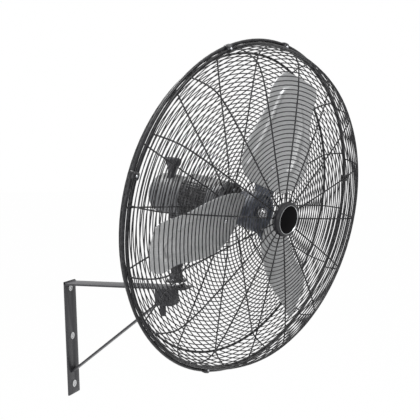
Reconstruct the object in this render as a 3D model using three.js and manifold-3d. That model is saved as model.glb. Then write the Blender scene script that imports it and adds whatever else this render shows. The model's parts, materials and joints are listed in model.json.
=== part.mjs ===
// Wall mounted oscillating fan, built from separate pieces. Millimetres, +Z up.
//
// The wall is the plane y = 0 and the fan stands out along -Y. The origin lies on the back face of the
// wall bracket, between its two lower screw holes. The head is stored swung to one side and nodding down.
//
// Three nested frames carry the pieces:
//   bracket frame - upright, origin at the foot of the wall plate
//   neck frame    - origin on the tilt bolt, +Z along the neck, leaning with the tilt
//   head frame    - origin where the swing axis meets the shaft, +X to the side, +Y up, +Z along the shaft
import * as THREE from 'three';
import { mergeVertices } from 'three/addons/utils/BufferGeometryUtils.js';
import Module from 'manifold-3d';

const wasm = await Module();
wasm.setup();

// ---------------------------------------------------------------- driving dimensions

const deg = Math.PI / 180;
const seat = 0.3; // gap left between two pieces that touch
const running = 0.3; // gap round a turning shaft

// rest pose
const tiltDown = 10.2 * deg;
const swingLeft = 21.2 * deg;
const swingLimit = 45 * deg;

// wall bracket
const plateHeight = 330;
const strapWidth = 56;
const strapThick = 5;
const strapBend = 9; // outer radius of the bend
const armOverhang = 36; // arm beyond the pole
const holeInset = 28; // end of the plate to the end hole
const bushingBore = 9;
const bushingBarrel = 13;
const bushingFlange = 20;
const bushingFlangeThick = 1.5;
const braceWidth = 30;
const braceThick = 5;
const braceFoot = 62; // height of the brace on the plate
const braceOverhang = 22; // brace's end beyond the pole

// pole and tilt joint
const poleReach = 330; // wall to pole
const poleRadius = 14;
const baseRadius = 27.5;
const baseHeight = 22;
const baseFlange = 5;
const baseWall = 3;
const baseBoltSides = [-22, 22];
const baseBoltRadius = 2.5;
const baseHeadRadius = 4.4;
const baseHeadThick = 3.5;
const baseNutThick = 4;
const poleWall = 3;
const tiltRise = 90; // tilt bolt over the arm
const lugRadius = 21;
const lugThick = 20;
const knuckleRadius = 20; // sleeve on the pole
const knuckleSleeve = 26;
const tiltBoltRadius = 5;
const tiltHeadRadius = 9;
const tiltHeadThick = 7;
const tiltKnobRadius = 16;
const tiltKnobThick = 14;
const tiltKnobFlutes = 8;

// neck
const neckLength = 148; // tilt bolt to shaft
const cheekThick = 8;
const cheekRadius = 22;
const forkDepth = 26; // tilt bolt to the crown of the fork
const columnRadius = 18;
const neckFlangeRadius = 29;
const neckFlangeThick = 9;
const pivotRadius = 6;
const pivotBossWall = 4.2;

// control box under the arm
const boxInset = 12; // middle of the box behind the pole
const boxWide = 48; // along the arm
const boxDeep = 42; // across the arm
const boxTall = 45;
const boxWall = 2.5;
const dialRadius = 12;
const dialThick = 9;
const dialStem = 3;
const switchRadius = 13;
const switchDepth = 25;
const glandRadius = 8.5;
const glandStem = 6;
const glandBore = 4;
const glandLength = 31;
const glandInset = 10.5;

// motor and gearbox, along the shaft from the swing axis
const motorRadius = 56;
const motorWall = 3;
const coverRadius = 55;
const coverDrop = 12; // axis of the rear cover below the shaft
const rearEnd = -92;
const rearRounding = 34;
const coverFront = 30;
const faceBore = 40; // hole in the cover's front wall
const bellSplit = 96;
const motorFront = 168;
const noseRadius = 24;
const noseLength = 7;
const coreRadius = 29.8; // bore of the stator
const coreFrom = 64;
const coreTo = 130;
const coilReach = 11;
const bearingRadius = 11;
const bearingWide = 7;
const shaftRadius = 6;
const shaftRear = -52;
const shaftFront = 274;

// gearbox
const caseWall = 3;
const caseLeft = -39;
const caseRight = 29;
const caseTop = 16;
const caseBottom = -30;
const caseRear = -60;
const wormRadius = 7;
const wormHalf = 12;
const wormAt = -28;
const wheelRadius = 14;
const wheelHalf = 5;
const wheelTeeth = 16;
const spindleRadius = 3;
const pinionRadius = 5;
const crankAt = -38; // crank axis behind the swing axis
const gearTop = -18;
const gearThick = 7;
const gearTeeth = 24;
const crankShaftRadius = 4;
const crankDiscTop = -37;
const crankDiscThick = 4;
const crankPinRadius = 2.5;
const crankPinLength = 5.5;
const pivotBossEnd = -60;
const linkPinArm = 20; // link pin from the swing axis
const linkThick = 3.5;
const linkHalfWidth = 3;
const linkEyeRadius = 5.6;
const openPivotGap = 0.5; // the crank pin stops short of the link by this much

// pull knob
const knobStemRadius = 9;
const knobStemFrom = 26;
const knobGripRadius = 19;
const knobGripFrom = 58;
const knobTop = 87;

// guards, along the shaft
const rimRadius = 405;
const rodRadius = 4;
const rearRimAt = 230;
const rimSpacing = 16;
const frontShoulderRadius = 380;
const frontShoulderDepth = 72;
const frontDomeDepth = 18;
const frontRingRadii = [315, 240, 165, 95];
const frontCentreRadius = 37;
const rearShoulderRadius = 350;
const rearShoulderDepth = 45;
const rearDomeDepth = 4;
const rearRingRadii = [280, 208, 140];
const wireRadius = 2.4;
const spokeCount = 8;
const guardPlateRadius = 82;
const guardPlateThick = 2.5;
const guardScrewCircle = 38;
const guardScrewCount = 3;
const guardScrewShank = 2;
const guardScrewHead = 4.5;
const clipAngles = [-23.5, 5.5, 77.5, -168.5, -79].map((a) => a * deg);
const clipWide = 15;
const clipThick = 4;
const clipTongue = 9;
const badgeRadius = 41.7;
const badgeFaceRadius = 35.4;
const badgeThick = 13;

// hub and blades, along the shaft
const hubRadius = 43.4;
const hubRear = 208;
const hubFront = 252;
const hubWall = 6;
const hubSleeve = 15;
const spiderRadius = 48;
const spiderThick = 3.7;
const spiderRimWall = 4;
const spiderRimHalf = 11;
const bladeCount = 3;
const firstBlade = 18 * deg; // from straight up towards +X
const bladeAt = 259;
const bladeRoot = 62;
const bladeTip = 345;
const bladeHalfChord = 92; // half width over which the camber runs
const bladeThick = 2;
const bladeCamber = 9;
const pitchRoot = 26 * deg;
const pitchTip = 15 * deg;
// outline from root to tip: [distance from the shaft, anticlockwise edge, clockwise edge]
const bladeOutline = [
  [bladeRoot, -46, 40],
  [80, -76, 64],
  [108, -90, 81],
  [145, -91, 86],
  [190, -86, 80],
  [230, -79, 67],
  [265, -77, 57],
  [300, -84, 55],
  [322, -78, 54],
];
const bladeTipEdges = [-60, 46]; // last row, along a circle of the tip's radius
const armTip = 128;
const armHalfWidth = 26;
const armThick = 3;
const boltRadii = [84, 112];
const boltHeadRadius = 5;
const boltShankRadius = 2.5;
const boltHeadThick = 3;
const hubNutRadius = 15;
const hubNutLength = 24;

// ---------------------------------------------------------------- derived dimensions

const armReach = poleReach + armOverhang;
const braceReach = poleReach + braceOverhang;
const boxReach = poleReach - boxInset;
const tiltHeight = plateHeight + tiltRise;
const mountHeight = (holeInset + plateHeight / 2) / 2; // origin over the foot of the plate
const frontRimAt = rearRimAt + rimSpacing;
const neckTop = pivotBossEnd - seat; // top of the neck flange, in the head frame
const boreRadius = pivotRadius + running;
const linkTop = crankDiscTop - crankDiscThick - crankPinLength - openPivotGap;
const caseFloor = caseBottom - seat;
const plateFloor = caseFloor - caseWall;
const spindleX = -(wormRadius + wheelRadius + 0.5);
const gearRadius = Math.hypot(spindleX, crankAt - wormAt) - pinionRadius - seat;
const holeHeights = [holeInset, plateHeight / 2, plateHeight - holeInset];
const armUnder = plateHeight - strapThick;
const badgeRear = frontRimAt + frontShoulderDepth + frontDomeDepth + wireRadius;
const guardScrewAngles = Array.from({ length: guardScrewCount }, (_, i) => {
  return (2 * Math.PI * i) / guardScrewCount;
});

// the crank swings the head to its limits when crank and link lie in line
const reachNear = Math.sqrt(crankAt ** 2 + linkPinArm ** 2 + 2 * crankAt * linkPinArm * Math.sin(swingLimit));
const reachFar = Math.sqrt(crankAt ** 2 + linkPinArm ** 2 - 2 * crankAt * linkPinArm * Math.sin(swingLimit));
const crankThrow = (reachFar - reachNear) / 2;
const linkLength = (reachFar + reachNear) / 2;

// ---------------------------------------------------------------- finishes

const finish = (color, roughness, metalness) => {
  return new THREE.MeshStandardMaterial({ color, roughness, metalness });
};
const blackPaint = finish(0x1b1b1d, 0.45, 0.3);
const wirePaint = finish(0x161618, 0.35, 0.3);
const bladeMetal = finish(0x9a9da0, 0.42, 0.8);
const motorPaint = finish(0x3a3c40, 0.5, 0.4);
const hubPaint = finish(0x2e323a, 0.5, 0.4);
const zinc = finish(0xb4b6b8, 0.35, 0.9);
const steel = finish(0x8c8e91, 0.3, 0.9);
const brass = finish(0xb08d4a, 0.35, 0.9);
const copper = finish(0xb06a3a, 0.4, 0.9);
const blackPlastic = finish(0x111112, 0.4, 0);
const badgeGloss = finish(0x08080a, 0.2, 0);

// ---------------------------------------------------------------- solids

// A closed geometry as a solid that can be joined and cut.
function solid(geometry) {
  const bare = geometry.index ? geometry.toNonIndexed() : geometry.clone();
  for (const name of Object.keys(bare.attributes)) {
    if (name !== 'position') bare.deleteAttribute(name);
  }
  const merged = mergeVertices(bare, 1e-4);
  const vertProperties = new Float32Array(merged.attributes.position.array);
  const triVerts = new Uint32Array(merged.index.array);
  return new wasm.Manifold(new wasm.Mesh({ numProp: 3, vertProperties, triVerts }));
}

// A solid back as a geometry.
function geometryOf(body) {
  const mesh = body.getMesh();
  const geometry = new THREE.BufferGeometry();
  const positions = new Float32Array((mesh.vertProperties.length / mesh.numProp) * 3);
  for (let i = 0; i < positions.length / 3; i += 1) {
    for (let k = 0; k < 3; k += 1) positions[3 * i + k] = mesh.vertProperties[i * mesh.numProp + k];
  }
  geometry.setAttribute('position', new THREE.BufferAttribute(positions, 3));
  geometry.setIndex([...mesh.triVerts]);
  geometry.computeVertexNormals();
  return geometry;
}

const join = (...bodies) => bodies.reduce((sum, body) => sum.add(body));
const cut = (body, ...tools) => tools.reduce((rest, tool) => rest.subtract(tool), body);

// Box between two corners.
function block(x0, x1, y0, y1, z0, z1) {
  const geometry = new THREE.BoxGeometry(x1 - x0, y1 - y0, z1 - z0);
  return solid(geometry.translate((x0 + x1) / 2, (y0 + y1) / 2, (z0 + z1) / 2));
}

// Cylinder along an axis ('x', 'y' or 'z') from one station to another.
function rod(axis, radius, from, to, at = [0, 0], sides = 16) {
  const geometry = new THREE.CylinderGeometry(radius, radius, to - from, sides);
  const middle = (from + to) / 2;
  if (axis === 'x') geometry.rotateZ(-Math.PI / 2).translate(middle, at[0], at[1]);
  if (axis === 'y') geometry.translate(at[0], middle, at[1]);
  if (axis === 'z') geometry.rotateX(Math.PI / 2).translate(at[0], at[1], middle);
  return solid(geometry);
}

// Solid of revolution about Z from [radius, z] points; a profile off the axis is closed on itself.
function turned(points, segments = 20) {
  const ends = [points[0][0], points[points.length - 1][0]];
  const closed = ends.some((r) => r > 0) ? [...points, points[0]] : points;
  const profile = closed.map(([r, z]) => new THREE.Vector2(r, z));
  const body = solid(new THREE.LatheGeometry(profile, segments).rotateX(Math.PI / 2));
  if (body.volume() > 0) return body;
  const flipped = closed.slice().reverse().map(([r, z]) => new THREE.Vector2(r, z));
  return solid(new THREE.LatheGeometry(flipped, segments).rotateX(Math.PI / 2));
}

// Ring of rectangular section about Z.
const washer = (inner, outer, z0, z1, segments = 20) =>
  turned([[inner, z0], [outer, z0], [outer, z1], [inner, z1]], segments);

// Points on an arc in [radius, z] space.
function arc(centre, radius, from, to, steps) {
  return Array.from({ length: steps + 1 }, (_, i) => {
    const a = from + ((to - from) * i) / steps;
    return [centre[0] + radius * Math.cos(a), centre[1] + radius * Math.sin(a)];
  });
}

// Round ring about Z.
function hoop(radius, thickness, z, sides = 3, segments = 24) {
  return solid(new THREE.TorusGeometry(radius, thickness, sides, segments).translate(0, 0, z));
}

// Bar of three-sided section through points that lie in one plane with the given normal.
function wire(points, radius, normal) {
  const corners = [0, 1, 2].map((k) => [Math.cos((2 * Math.PI * k) / 3), Math.sin((2 * Math.PI * k) / 3)]);
  const positions = [];
  points.forEach((point, i) => {
    const before = points[Math.max(0, i - 1)];
    const after = points[Math.min(points.length - 1, i + 1)];
    const across = normal.clone().cross(after.clone().sub(before)).normalize();
    for (const [n, m] of corners) {
      const corner = point.clone().addScaledVector(normal, n * radius).addScaledVector(across, m * radius);
      positions.push(...corner.toArray());
    }
  });
  const last = 3 * (points.length - 1);
  const index = [0, 1, 2, last, last + 2, last + 1];
  for (let i = 0; i < last; i += 3) {
    for (let k = 0; k < 3; k += 1) {
      const next = (k + 1) % 3;
      index.push(i + k, i + 3 + k, i + 3 + next, i + k, i + 3 + next, i + next);
    }
  }
  return facingOut(positions, index);
}

// Solid from corner positions and triangles, turned to face outward.
function facingOut(positions, index) {
  const geometry = new THREE.BufferGeometry();
  geometry.setAttribute('position', new THREE.Float32BufferAttribute(positions, 3));
  geometry.setIndex(index);
  const body = solid(geometry);
  if (body.volume() > 0) return body;
  geometry.setIndex(index.slice().reverse());
  return solid(geometry);
}

// Toothed wheel about Y.
function toothed(radius, depth, teeth, y0, y1, x, z) {
  const outline = new THREE.Shape();
  for (let i = 0; i < teeth; i += 1) {
    const pitch = (2 * Math.PI) / teeth;
    const corners = [[radius - depth, 0.1], [radius, 0.32], [radius, 0.58], [radius - depth, 0.8]];
    for (const [r, share] of corners) {
      const a = (i + share) * pitch;
      if (i === 0 && share === 0.1) outline.moveTo(r * Math.cos(a), r * Math.sin(a));
      else outline.lineTo(r * Math.cos(a), r * Math.sin(a));
    }
  }
  const geometry = new THREE.ExtrudeGeometry(outline, { depth: y1 - y0, bevelEnabled: false });
  return solid(geometry.rotateX(Math.PI / 2).translate(x, y1, z));
}

// Turns a solid about Z.
const turnedBy = (body, angle) => solid(geometryOf(body).rotateZ(angle));

const shifted = (body, x, y, z) => solid(geometryOf(body).translate(x, y, z));

// Point on a circle about the shaft, by its angle from straight up towards +X.
const onCircle = (radius, angle) => [radius * Math.sin(angle), radius * Math.cos(angle)];

// ---------------------------------------------------------------- frames

const fan = new THREE.Group();
const bracketFrame = new THREE.Group();
const neckFrame = new THREE.Group();
const headFrame = new THREE.Group();
const neckShaftFrame = new THREE.Group();

bracketFrame.position.z = -mountHeight;
neckFrame.position.set(0, -poleReach, tiltHeight);
neckFrame.rotation.x = tiltDown;
// +Z along the straight-ahead shaft and +Y along the neck
neckShaftFrame.position.z = neckLength;
neckShaftFrame.rotation.x = Math.PI / 2;
headFrame.rotation.y = -swingLeft;
fan.add(bracketFrame);
bracketFrame.add(neckFrame);
neckFrame.add(neckShaftFrame);
neckShaftFrame.add(headFrame);

function place(frame, name, body, material) {
  const mesh = new THREE.Mesh(geometryOf(body), material);
  mesh.name = name;
  frame.add(mesh);
  return mesh;
}

// ---------------------------------------------------------------- bracket

// Extrudes an outline drawn as (distance from the wall, height) to a bar centred on x = 0.
function bar(outline, width, curveSegments = 5) {
  const geometry = new THREE.ExtrudeGeometry(outline, { depth: width, bevelEnabled: false, curveSegments });
  // (u, v, w) -> (-w, -u, v)
  const turn = new THREE.Matrix4().set(0, 0, -1, width / 2, -1, 0, 0, 0, 0, 1, 0, 0, 0, 0, 0, 1);
  return solid(geometry.applyMatrix4(turn));
}

// One flat bar bent square: the plate on the wall and the arm over it.
function wallBracket() {
  const corner = [strapBend, plateHeight - strapBend];
  const outline = new THREE.Shape();
  outline.moveTo(0, 0);
  outline.lineTo(0, corner[1]);
  outline.absarc(corner[0], corner[1], strapBend, Math.PI, Math.PI / 2, true);
  outline.lineTo(armReach, plateHeight);
  outline.lineTo(armReach, armUnder);
  outline.lineTo(strapBend, armUnder);
  outline.absarc(corner[0], corner[1], strapBend - strapThick, Math.PI / 2, Math.PI, false);
  outline.lineTo(strapThick, 0);
  outline.closePath();
  const holes = holeHeights.map((z) => rod('y', bushingBarrel / 2 + seat, -strapThick - 1, 1, [0, z]));
  const bolts = baseBoltSides.map((x) => {
    return rod('z', baseBoltRadius + seat, armUnder - 1, plateHeight + 1, [x, -poleReach], 10);
  });
  return cut(bar(outline, strapWidth), ...holes, ...bolts);
}

// Flanged eyelet in a screw hole.
function bushing(height) {
  const front = strapThick + seat;
  const profile = [
    [bushingBore / 2, 0],
    [bushingBarrel / 2, 0],
    [bushingBarrel / 2, front],
    [bushingFlange / 2, front],
    [bushingFlange / 2, front + bushingFlangeThick],
    [bushingBore / 2, front + bushingFlangeThick],
  ];
  return solid(geometryOf(turned(profile, 16)).rotateX(Math.PI / 2).translate(0, 0, height));
}

// Slanted flat bar from the plate up to the end of the arm, mitred against both.
function brace() {
  const foot = [strapThick + seat, braceFoot];
  const head = [braceReach, armUnder - seat];
  const slope = Math.atan2(head[1] - foot[1], head[0] - foot[0]);
  const outline = new THREE.Shape();
  outline.moveTo(foot[0], foot[1]);
  outline.lineTo(head[0], head[1]);
  outline.lineTo(head[0] - braceThick / Math.sin(slope), head[1]);
  outline.lineTo(foot[0], foot[1] + braceThick / Math.cos(slope));
  outline.closePath();
  return bar(outline, braceWidth);
}

// Flanged socket that stands on the arm and holds the pole.
function poleBase() {
  const from = plateHeight + seat;
  const profile = [
    [poleRadius + seat, from],
    [baseRadius, from],
    [baseRadius, from + baseFlange],
    [poleRadius + baseWall, from + baseFlange],
    [poleRadius + baseWall, from + baseHeight],
    [poleRadius + seat, from + baseHeight],
  ];
  const socket = shifted(turned(profile), 0, -poleReach, 0);
  const bolts = baseBoltSides.map((x) => {
    return rod('z', baseBoltRadius + seat, from - 1, from + baseHeight, [x, -poleReach], 10);
  });
  return cut(socket, ...bolts);
}

// Bolt with its nut that holds the base to the arm.
function baseBolt(x) {
  const top = plateHeight + 2 * seat + baseFlange;
  const at = [x, -poleReach];
  const shank = rod('z', baseBoltRadius, armUnder - seat - baseNutThick, top + 1, at, 10);
  const head = rod('z', baseHeadRadius, top, top + baseHeadThick, at, 6);
  const nut = rod('z', baseHeadRadius, armUnder - seat - baseNutThick, armUnder - seat, at, 6);
  return join(shank, head, nut);
}

const sleeveTop = tiltHeight - cheekRadius - 2;
const poleTop = sleeveTop - 3;

function pole() {
  const tube = washer(poleRadius - poleWall, poleRadius, plateHeight + seat, poleTop);
  return shifted(tube, 0, -poleReach, 0);
}

// Sleeve on the pole with an upright lug for the tilt bolt.
function lowerKnuckle() {
  const from = sleeveTop - knuckleSleeve;
  const half = lugThick / 2;
  const sleeve = rod('z', knuckleRadius, from, sleeveTop, [0, -poleReach]);
  const bore = rod('z', poleRadius + seat, from - 1, poleTop + seat, [0, -poleReach]);
  const lug = rod('x', lugRadius, -half, half, [-poleReach, tiltHeight]);
  const web = block(-half, half, -poleReach - poleRadius, -poleReach + poleRadius, sleeveTop - 1, tiltHeight);
  const hole = rod('x', tiltBoltRadius + seat, -half - 1, half + 1, [-poleReach, tiltHeight]);
  return cut(join(sleeve, lug, web), bore, hole);
}

const cheekFrom = lugThick / 2 + seat;
const cheekTo = cheekFrom + cheekThick;

// Tilt bolt with its head on one side.
function tiltBolt() {
  const at = [-poleReach, tiltHeight];
  const shank = rod('x', tiltBoltRadius, -cheekTo - 1, cheekTo + tiltKnobThick - 3, at);
  const head = rod('x', tiltHeadRadius, -cheekTo - seat - tiltHeadThick, -cheekTo - seat, at, 6);
  return join(shank, head);
}

// Fluted clamping knob on the far end of the tilt bolt.
function tiltKnob() {
  const from = cheekTo + seat;
  const to = from + tiltKnobThick;
  const disc = rod('x', tiltKnobRadius, from, to, [-poleReach, tiltHeight], 32);
  const flutes = Array.from({ length: tiltKnobFlutes }, (_, i) => {
    const a = (2 * Math.PI * i) / tiltKnobFlutes;
    const reach = tiltKnobRadius + 1;
    const at = [-poleReach + reach * Math.cos(a), tiltHeight + reach * Math.sin(a)];
    return rod('x', 4, from - 1, to + 1, at, 10);
  });
  const bore = rod('x', tiltBoltRadius + seat, from - 1, to - 2, [-poleReach, tiltHeight]);
  return cut(disc, ...flutes, bore);
}

// ---------------------------------------------------------------- control box

const boxFar = -braceWidth / 2 - seat;
const boxNear = boxFar - boxDeep;
const boxFront = -(boxReach + boxWide / 2);
const boxBack = -(boxReach - boxWide / 2);
const boxRoof = armUnder - baseNutThick - 3 * seat;
const boxFloor = boxRoof - boxTall;
const coverFace = boxNear - seat - boxWall;
const dialAt = [boxFront + boxWide * 0.38, (boxRoof + boxFloor) / 2 + 3];
const glandAt = [(boxNear + boxFar) / 2, boxBack - glandInset];

// Box screwed to the side of the brace under the arm, open on its outer side.
function controlBox() {
  const outer = block(boxNear, boxFar, boxFront, boxBack, boxFloor, boxRoof);
  const w = boxWall;
  const room = block(boxNear - 1, boxFar - w, boxFront + w, boxBack - w, boxFloor + w, boxRoof - w);
  const inlet = rod('z', glandStem + seat, boxFloor - 1, boxFloor + w + 1, glandAt, 20);
  return cut(outer, room, inlet);
}

function controlCover() {
  const plate = block(coverFace, boxNear - seat, boxFront, boxBack, boxFloor, boxRoof);
  return cut(plate, rod('x', dialStem + seat, coverFace - 1, boxNear + 1, dialAt, 12));
}

// Rotary switch behind the cover.
function speedSwitch() {
  const body = rod('x', switchRadius, boxNear, boxNear + switchDepth, dialAt, 20);
  return cut(body, rod('x', dialStem + seat, boxNear - 1, boxNear + switchDepth * 0.6, dialAt, 12));
}

// Dial with a pointer bar, on a stem that reaches into the switch.
function speedKnob() {
  const from = coverFace - seat - dialThick;
  const dial = rod('x', dialRadius, from, coverFace - seat, dialAt, 20);
  const stem = rod('x', dialStem, from + 1, boxNear + switchDepth * 0.5, dialAt, 12);
  const [y, z] = dialAt;
  const pointer = block(from - 4, from + 1, y - 2.5, y + 2.5, z - dialRadius + 1, z + dialRadius - 1);
  return join(dial, stem, pointer);
}

function runCapacitor() {
  const back = boxFar - boxWall - seat;
  const side = boxBack - boxWall - seat;
  return block(back - 28, back, side - 11, side, boxFloor + boxWall + 6, boxRoof - boxWall - 2);
}

// Cable gland through the floor of the box, with an open bore.
function cableGland() {
  const top = boxFloor - seat;
  const profile = [
    [glandBore, top + boxWall + 1],
    [glandBore, top - glandLength],
    [glandRadius - 2.5, top - glandLength],
    [glandRadius, top - glandLength + 6],
    [glandRadius, top],
    [glandStem, top],
    [glandStem, top + boxWall + 1],
  ];
  return shifted(turned(profile, 20), glandAt[0], glandAt[1], 0);
}

// ---------------------------------------------------------------- neck, in its shaft frame

// Fork over the lug, column, flange and the pivot pin that the head turns on.
function neck() {
  const low = -neckLength;
  const flangeFrom = neckTop - neckFlangeThick;
  const cheeks = [-1, 1].map((side) => {
    const x = [side * cheekFrom, side * cheekTo].sort((a, b) => a - b);
    const round = rod('x', cheekRadius, x[0], x[1], [low, 0]);
    const web = block(x[0], x[1], low, low + forkDepth + 8, -cheekRadius, cheekRadius);
    return join(round, web);
  });
  const crown = block(-cheekTo, cheekTo, low + forkDepth, low + forkDepth + 8, -cheekRadius, cheekRadius);
  const column = rod('y', columnRadius, low + forkDepth + 4, flangeFrom + 1, [0, 0]);
  const flange = rod('y', neckFlangeRadius, flangeFrom, neckTop, [0, 0], 20);
  const pin = rod('y', pivotRadius, neckTop - 1, plateFloor, [0, 0]);
  const hole = rod('x', tiltBoltRadius + seat, -cheekTo - 1, cheekTo + 1, [low, 0]);
  const seatHole = rod('y', crankPinRadius + seat, flangeFrom + 2, neckTop + 1, [linkPinArm, 0], 16);
  return cut(join(...cheeks, crown, column, flange, pin), hole, seatHole);
}

const linkFloor = linkTop - linkThick;

// Shouldered pin that the link turns on, pressed into the flange.
function linkPin() {
  const at = [linkPinArm, 0];
  const stem = rod('y', crankPinRadius, neckTop - neckFlangeThick + 3, linkTop + 1, at, 16);
  const shoulder = rod('y', crankPinRadius + 2, neckTop + seat, linkFloor - seat, at, 16);
  return join(stem, shoulder);
}

// A point of the swing plane (x, z) turned about the swing axis.
function swung(point, angle) {
  const [c, s] = [Math.cos(angle), Math.sin(angle)];
  return new THREE.Vector2(point.x * c + point.y * s, point.y * c - point.x * s);
}

// Where the crank pin stands at rest, seen from the neck: on the crank circle, one link from the link pin.
function crankPinAtRest() {
  const centre = swung(new THREE.Vector2(0, crankAt), -swingLeft);
  const pin = new THREE.Vector2(linkPinArm, 0);
  const gap = centre.distanceTo(pin);
  const along = (linkLength ** 2 - crankThrow ** 2 + gap ** 2) / (2 * gap);
  const across = Math.sqrt(linkLength ** 2 - along ** 2);
  const toward = centre.clone().sub(pin).divideScalar(gap);
  const side = new THREE.Vector2(-toward.y, toward.x);
  return pin.clone().addScaledVector(toward, along).addScaledVector(side, across);
}

// Link rod: two eyes joined by a flat bar.
function linkRod() {
  const far = crankPinAtRest();
  const near = new THREE.Vector2(linkPinArm, 0);
  const run = far.clone().sub(near);
  const shaft = new THREE.BoxGeometry(run.length(), linkThick, 2 * linkHalfWidth);
  shaft.rotateY(-Math.atan2(run.y, run.x));
  shaft.translate((near.x + far.x) / 2, linkFloor + linkThick / 2, (near.y + far.y) / 2);
  const eyes = [near, far].map((p) => rod('y', linkEyeRadius, linkFloor, linkTop, [p.x, p.y], 20));
  const holes = [near, far].map((p) => {
    return rod('y', crankPinRadius + seat, linkFloor - 1, linkTop + 1, [p.x, p.y], 16);
  });
  return cut(join(solid(shaft), ...eyes), ...holes);
}

// ---------------------------------------------------------------- gearbox and motor, in the head frame

// Domed cover over the gearbox, lower than the shaft, open in front and below.
function rearCover() {
  const inner = coverRadius - motorWall;
  const centre = [coverRadius - rearRounding, rearEnd + rearRounding];
  const outside = arc(centre, rearRounding, -Math.PI / 2, 0, 5);
  const inside = arc(centre, rearRounding - motorWall, 0, -Math.PI / 2, 5);
  const profile = [
    [0, rearEnd],
    ...outside,
    [coverRadius, coverFront],
    [inner, coverFront],
    ...inside,
    [0, rearEnd + motorWall],
  ];
  const shell = shifted(turned(profile, 24), 0, -coverDrop, 0);
  const face = rod('z', inner + 1, coverFront - motorWall, coverFront, [0, -coverDrop], 24);
  const faceHole = rod('z', faceBore, coverFront - motorWall - 1, coverFront + 1, [0, 0], 24);
  const room = block(
    caseLeft - seat,
    caseRight + seat,
    plateFloor - seat,
    caseTop + seat,
    coverFront - motorWall - 1,
    coverFront + 1,
  );
  const knobHole = rod('y', knobStemRadius + 1, knobStemFrom - 4, motorRadius, [spindleX, wormAt], 20);
  const side = neckFlangeRadius + 11;
  const under = pivotBossEnd + 3;
  const opening = block(-side, side, -2 * coverRadius, under, -2 * neckFlangeRadius - 4, coverFront + 1);
  return cut(join(shell, face), faceHole, room, knobHole, opening);
}

// Gear case, open below, with a tail bearing for the shaft.
function gearCase() {
  const back = coverFront - seat;
  const outer = block(caseLeft, caseRight, caseBottom, caseTop, caseRear, back);
  const room = block(
    caseLeft + caseWall,
    caseRight - caseWall,
    caseBottom - 1,
    caseTop - caseWall,
    caseRear + caseWall,
    back - caseWall,
  );
  const tail = rod('z', shaftRadius + 4, caseRear + 1, shaftRear + 7, [0, 0]);
  const tailBore = rod('z', shaftRadius + running, shaftRear - seat, shaftRear + 8, [0, 0]);
  const shaftHole = rod('z', shaftRadius + 1, back - caseWall - 1, back + 1, [0, 0]);
  const at = [spindleX, wormAt];
  const spindleHole = rod('y', spindleRadius + running, caseTop - caseWall - 1, caseTop + 1, at);
  return cut(join(cut(outer, room), tail), tailBore, shaftHole, spindleHole);
}

// Floor of the gear case with the boss that turns on the pivot pin.
function gearPlate() {
  const back = coverFront - seat;
  const plate = block(caseLeft, caseRight, plateFloor, caseFloor, caseRear, back);
  const boss = rod('y', boreRadius + pivotBossWall, pivotBossEnd, plateFloor + 1, [0, 0]);
  const bore = rod('y', boreRadius, pivotBossEnd - 1, plateFloor + seat, [0, 0]);
  const crankHole = rod('y', crankShaftRadius + running, plateFloor - 1, caseFloor + 1, [0, crankAt], 20);
  return cut(join(plate, boss), bore, crankHole);
}

// Upright spindle with the worm wheel above and the pinion below.
function wormWheel() {
  const at = [spindleX, wormAt];
  const spindle = rod('y', spindleRadius, caseFloor + seat, knobGripFrom + 8, at, 16);
  const wheel = toothed(wheelRadius, 1.6, wheelTeeth, -wheelHalf, wheelHalf, ...at);
  const pinion = rod('y', pinionRadius, gearTop - gearThick, gearTop, at, 12);
  return join(spindle, wheel, pinion);
}

// Crank gear, its shaft through the floor, and the crank disc with its pin.
function crankGear() {
  const at = [0, crankAt];
  const pinAt = swung(crankPinAtRest(), swingLeft);
  const wheel = toothed(gearRadius, 1.6, gearTeeth, gearTop - gearThick, gearTop, ...at);
  const shaft = rod('y', crankShaftRadius, crankDiscTop - 1, gearTop - 1, at, 20);
  const low = crankDiscTop - crankDiscThick;
  const disc = rod('y', crankThrow + crankPinRadius + 1.5, low, crankDiscTop, at, 24);
  const pin = rod('y', crankPinRadius, low - crankPinLength, low + 1, [pinAt.x, pinAt.y], 16);
  return join(wheel, shaft, disc, pin);
}

// Knob on top of the spindle: pulled up, it stops the swing.
function pullKnob() {
  const x = spindleX;
  const profile = [
    [0, knobTop],
    [knobGripRadius - 4, knobTop],
    [knobGripRadius, knobTop - 4],
    [knobGripRadius - 1.5, knobGripFrom + 12],
    [knobStemRadius + 2, knobGripFrom],
    [knobStemRadius, knobGripFrom - 4],
    [knobStemRadius, knobStemFrom],
    [spindleRadius + running, knobStemFrom],
    [spindleRadius + running, knobGripFrom + 18],
    [0, knobGripFrom + 18],
  ];
  const body = turned(profile, 16);
  return solid(geometryOf(body).rotateX(-Math.PI / 2).translate(x, 0, wormAt));
}

// Motor bell from its wall to its rim, with a bearing pocket inside.
function bell(wallFrom, wallTo, rim, reach) {
  const inner = motorRadius - motorWall;
  const pocket = bearingRadius + seat;
  const profile = [
    [shaftRadius + 1, wallFrom],
    [shaftRadius + 1, wallTo],
    [pocket, wallTo],
    [pocket, wallTo + reach],
    [pocket + motorWall, wallTo + reach],
    [pocket + motorWall, wallTo],
    [inner, wallTo],
    [inner, rim],
    [motorRadius, rim],
    [motorRadius, wallFrom],
  ];
  return turned(profile, 24);
}

function motorRearBell() {
  const wall = coverFront + seat;
  return bell(wall, wall + motorWall + 1, bellSplit - seat, bearingWide + 1);
}

function motorFrontBell() {
  const wallTo = motorFront - motorWall - 1;
  const body = bell(motorFront, wallTo, bellSplit, -bearingWide - 1);
  const nose = washer(shaftRadius + 1, noseRadius, motorFront - 1, motorFront + noseLength);
  const screws = guardScrewAngles.map((a) => {
    return rod('z', guardScrewShank + seat, wallTo - 1, motorFront + 1, onCircle(guardScrewCircle, a), 12);
  });
  return cut(join(body, nose), ...screws);
}

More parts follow.
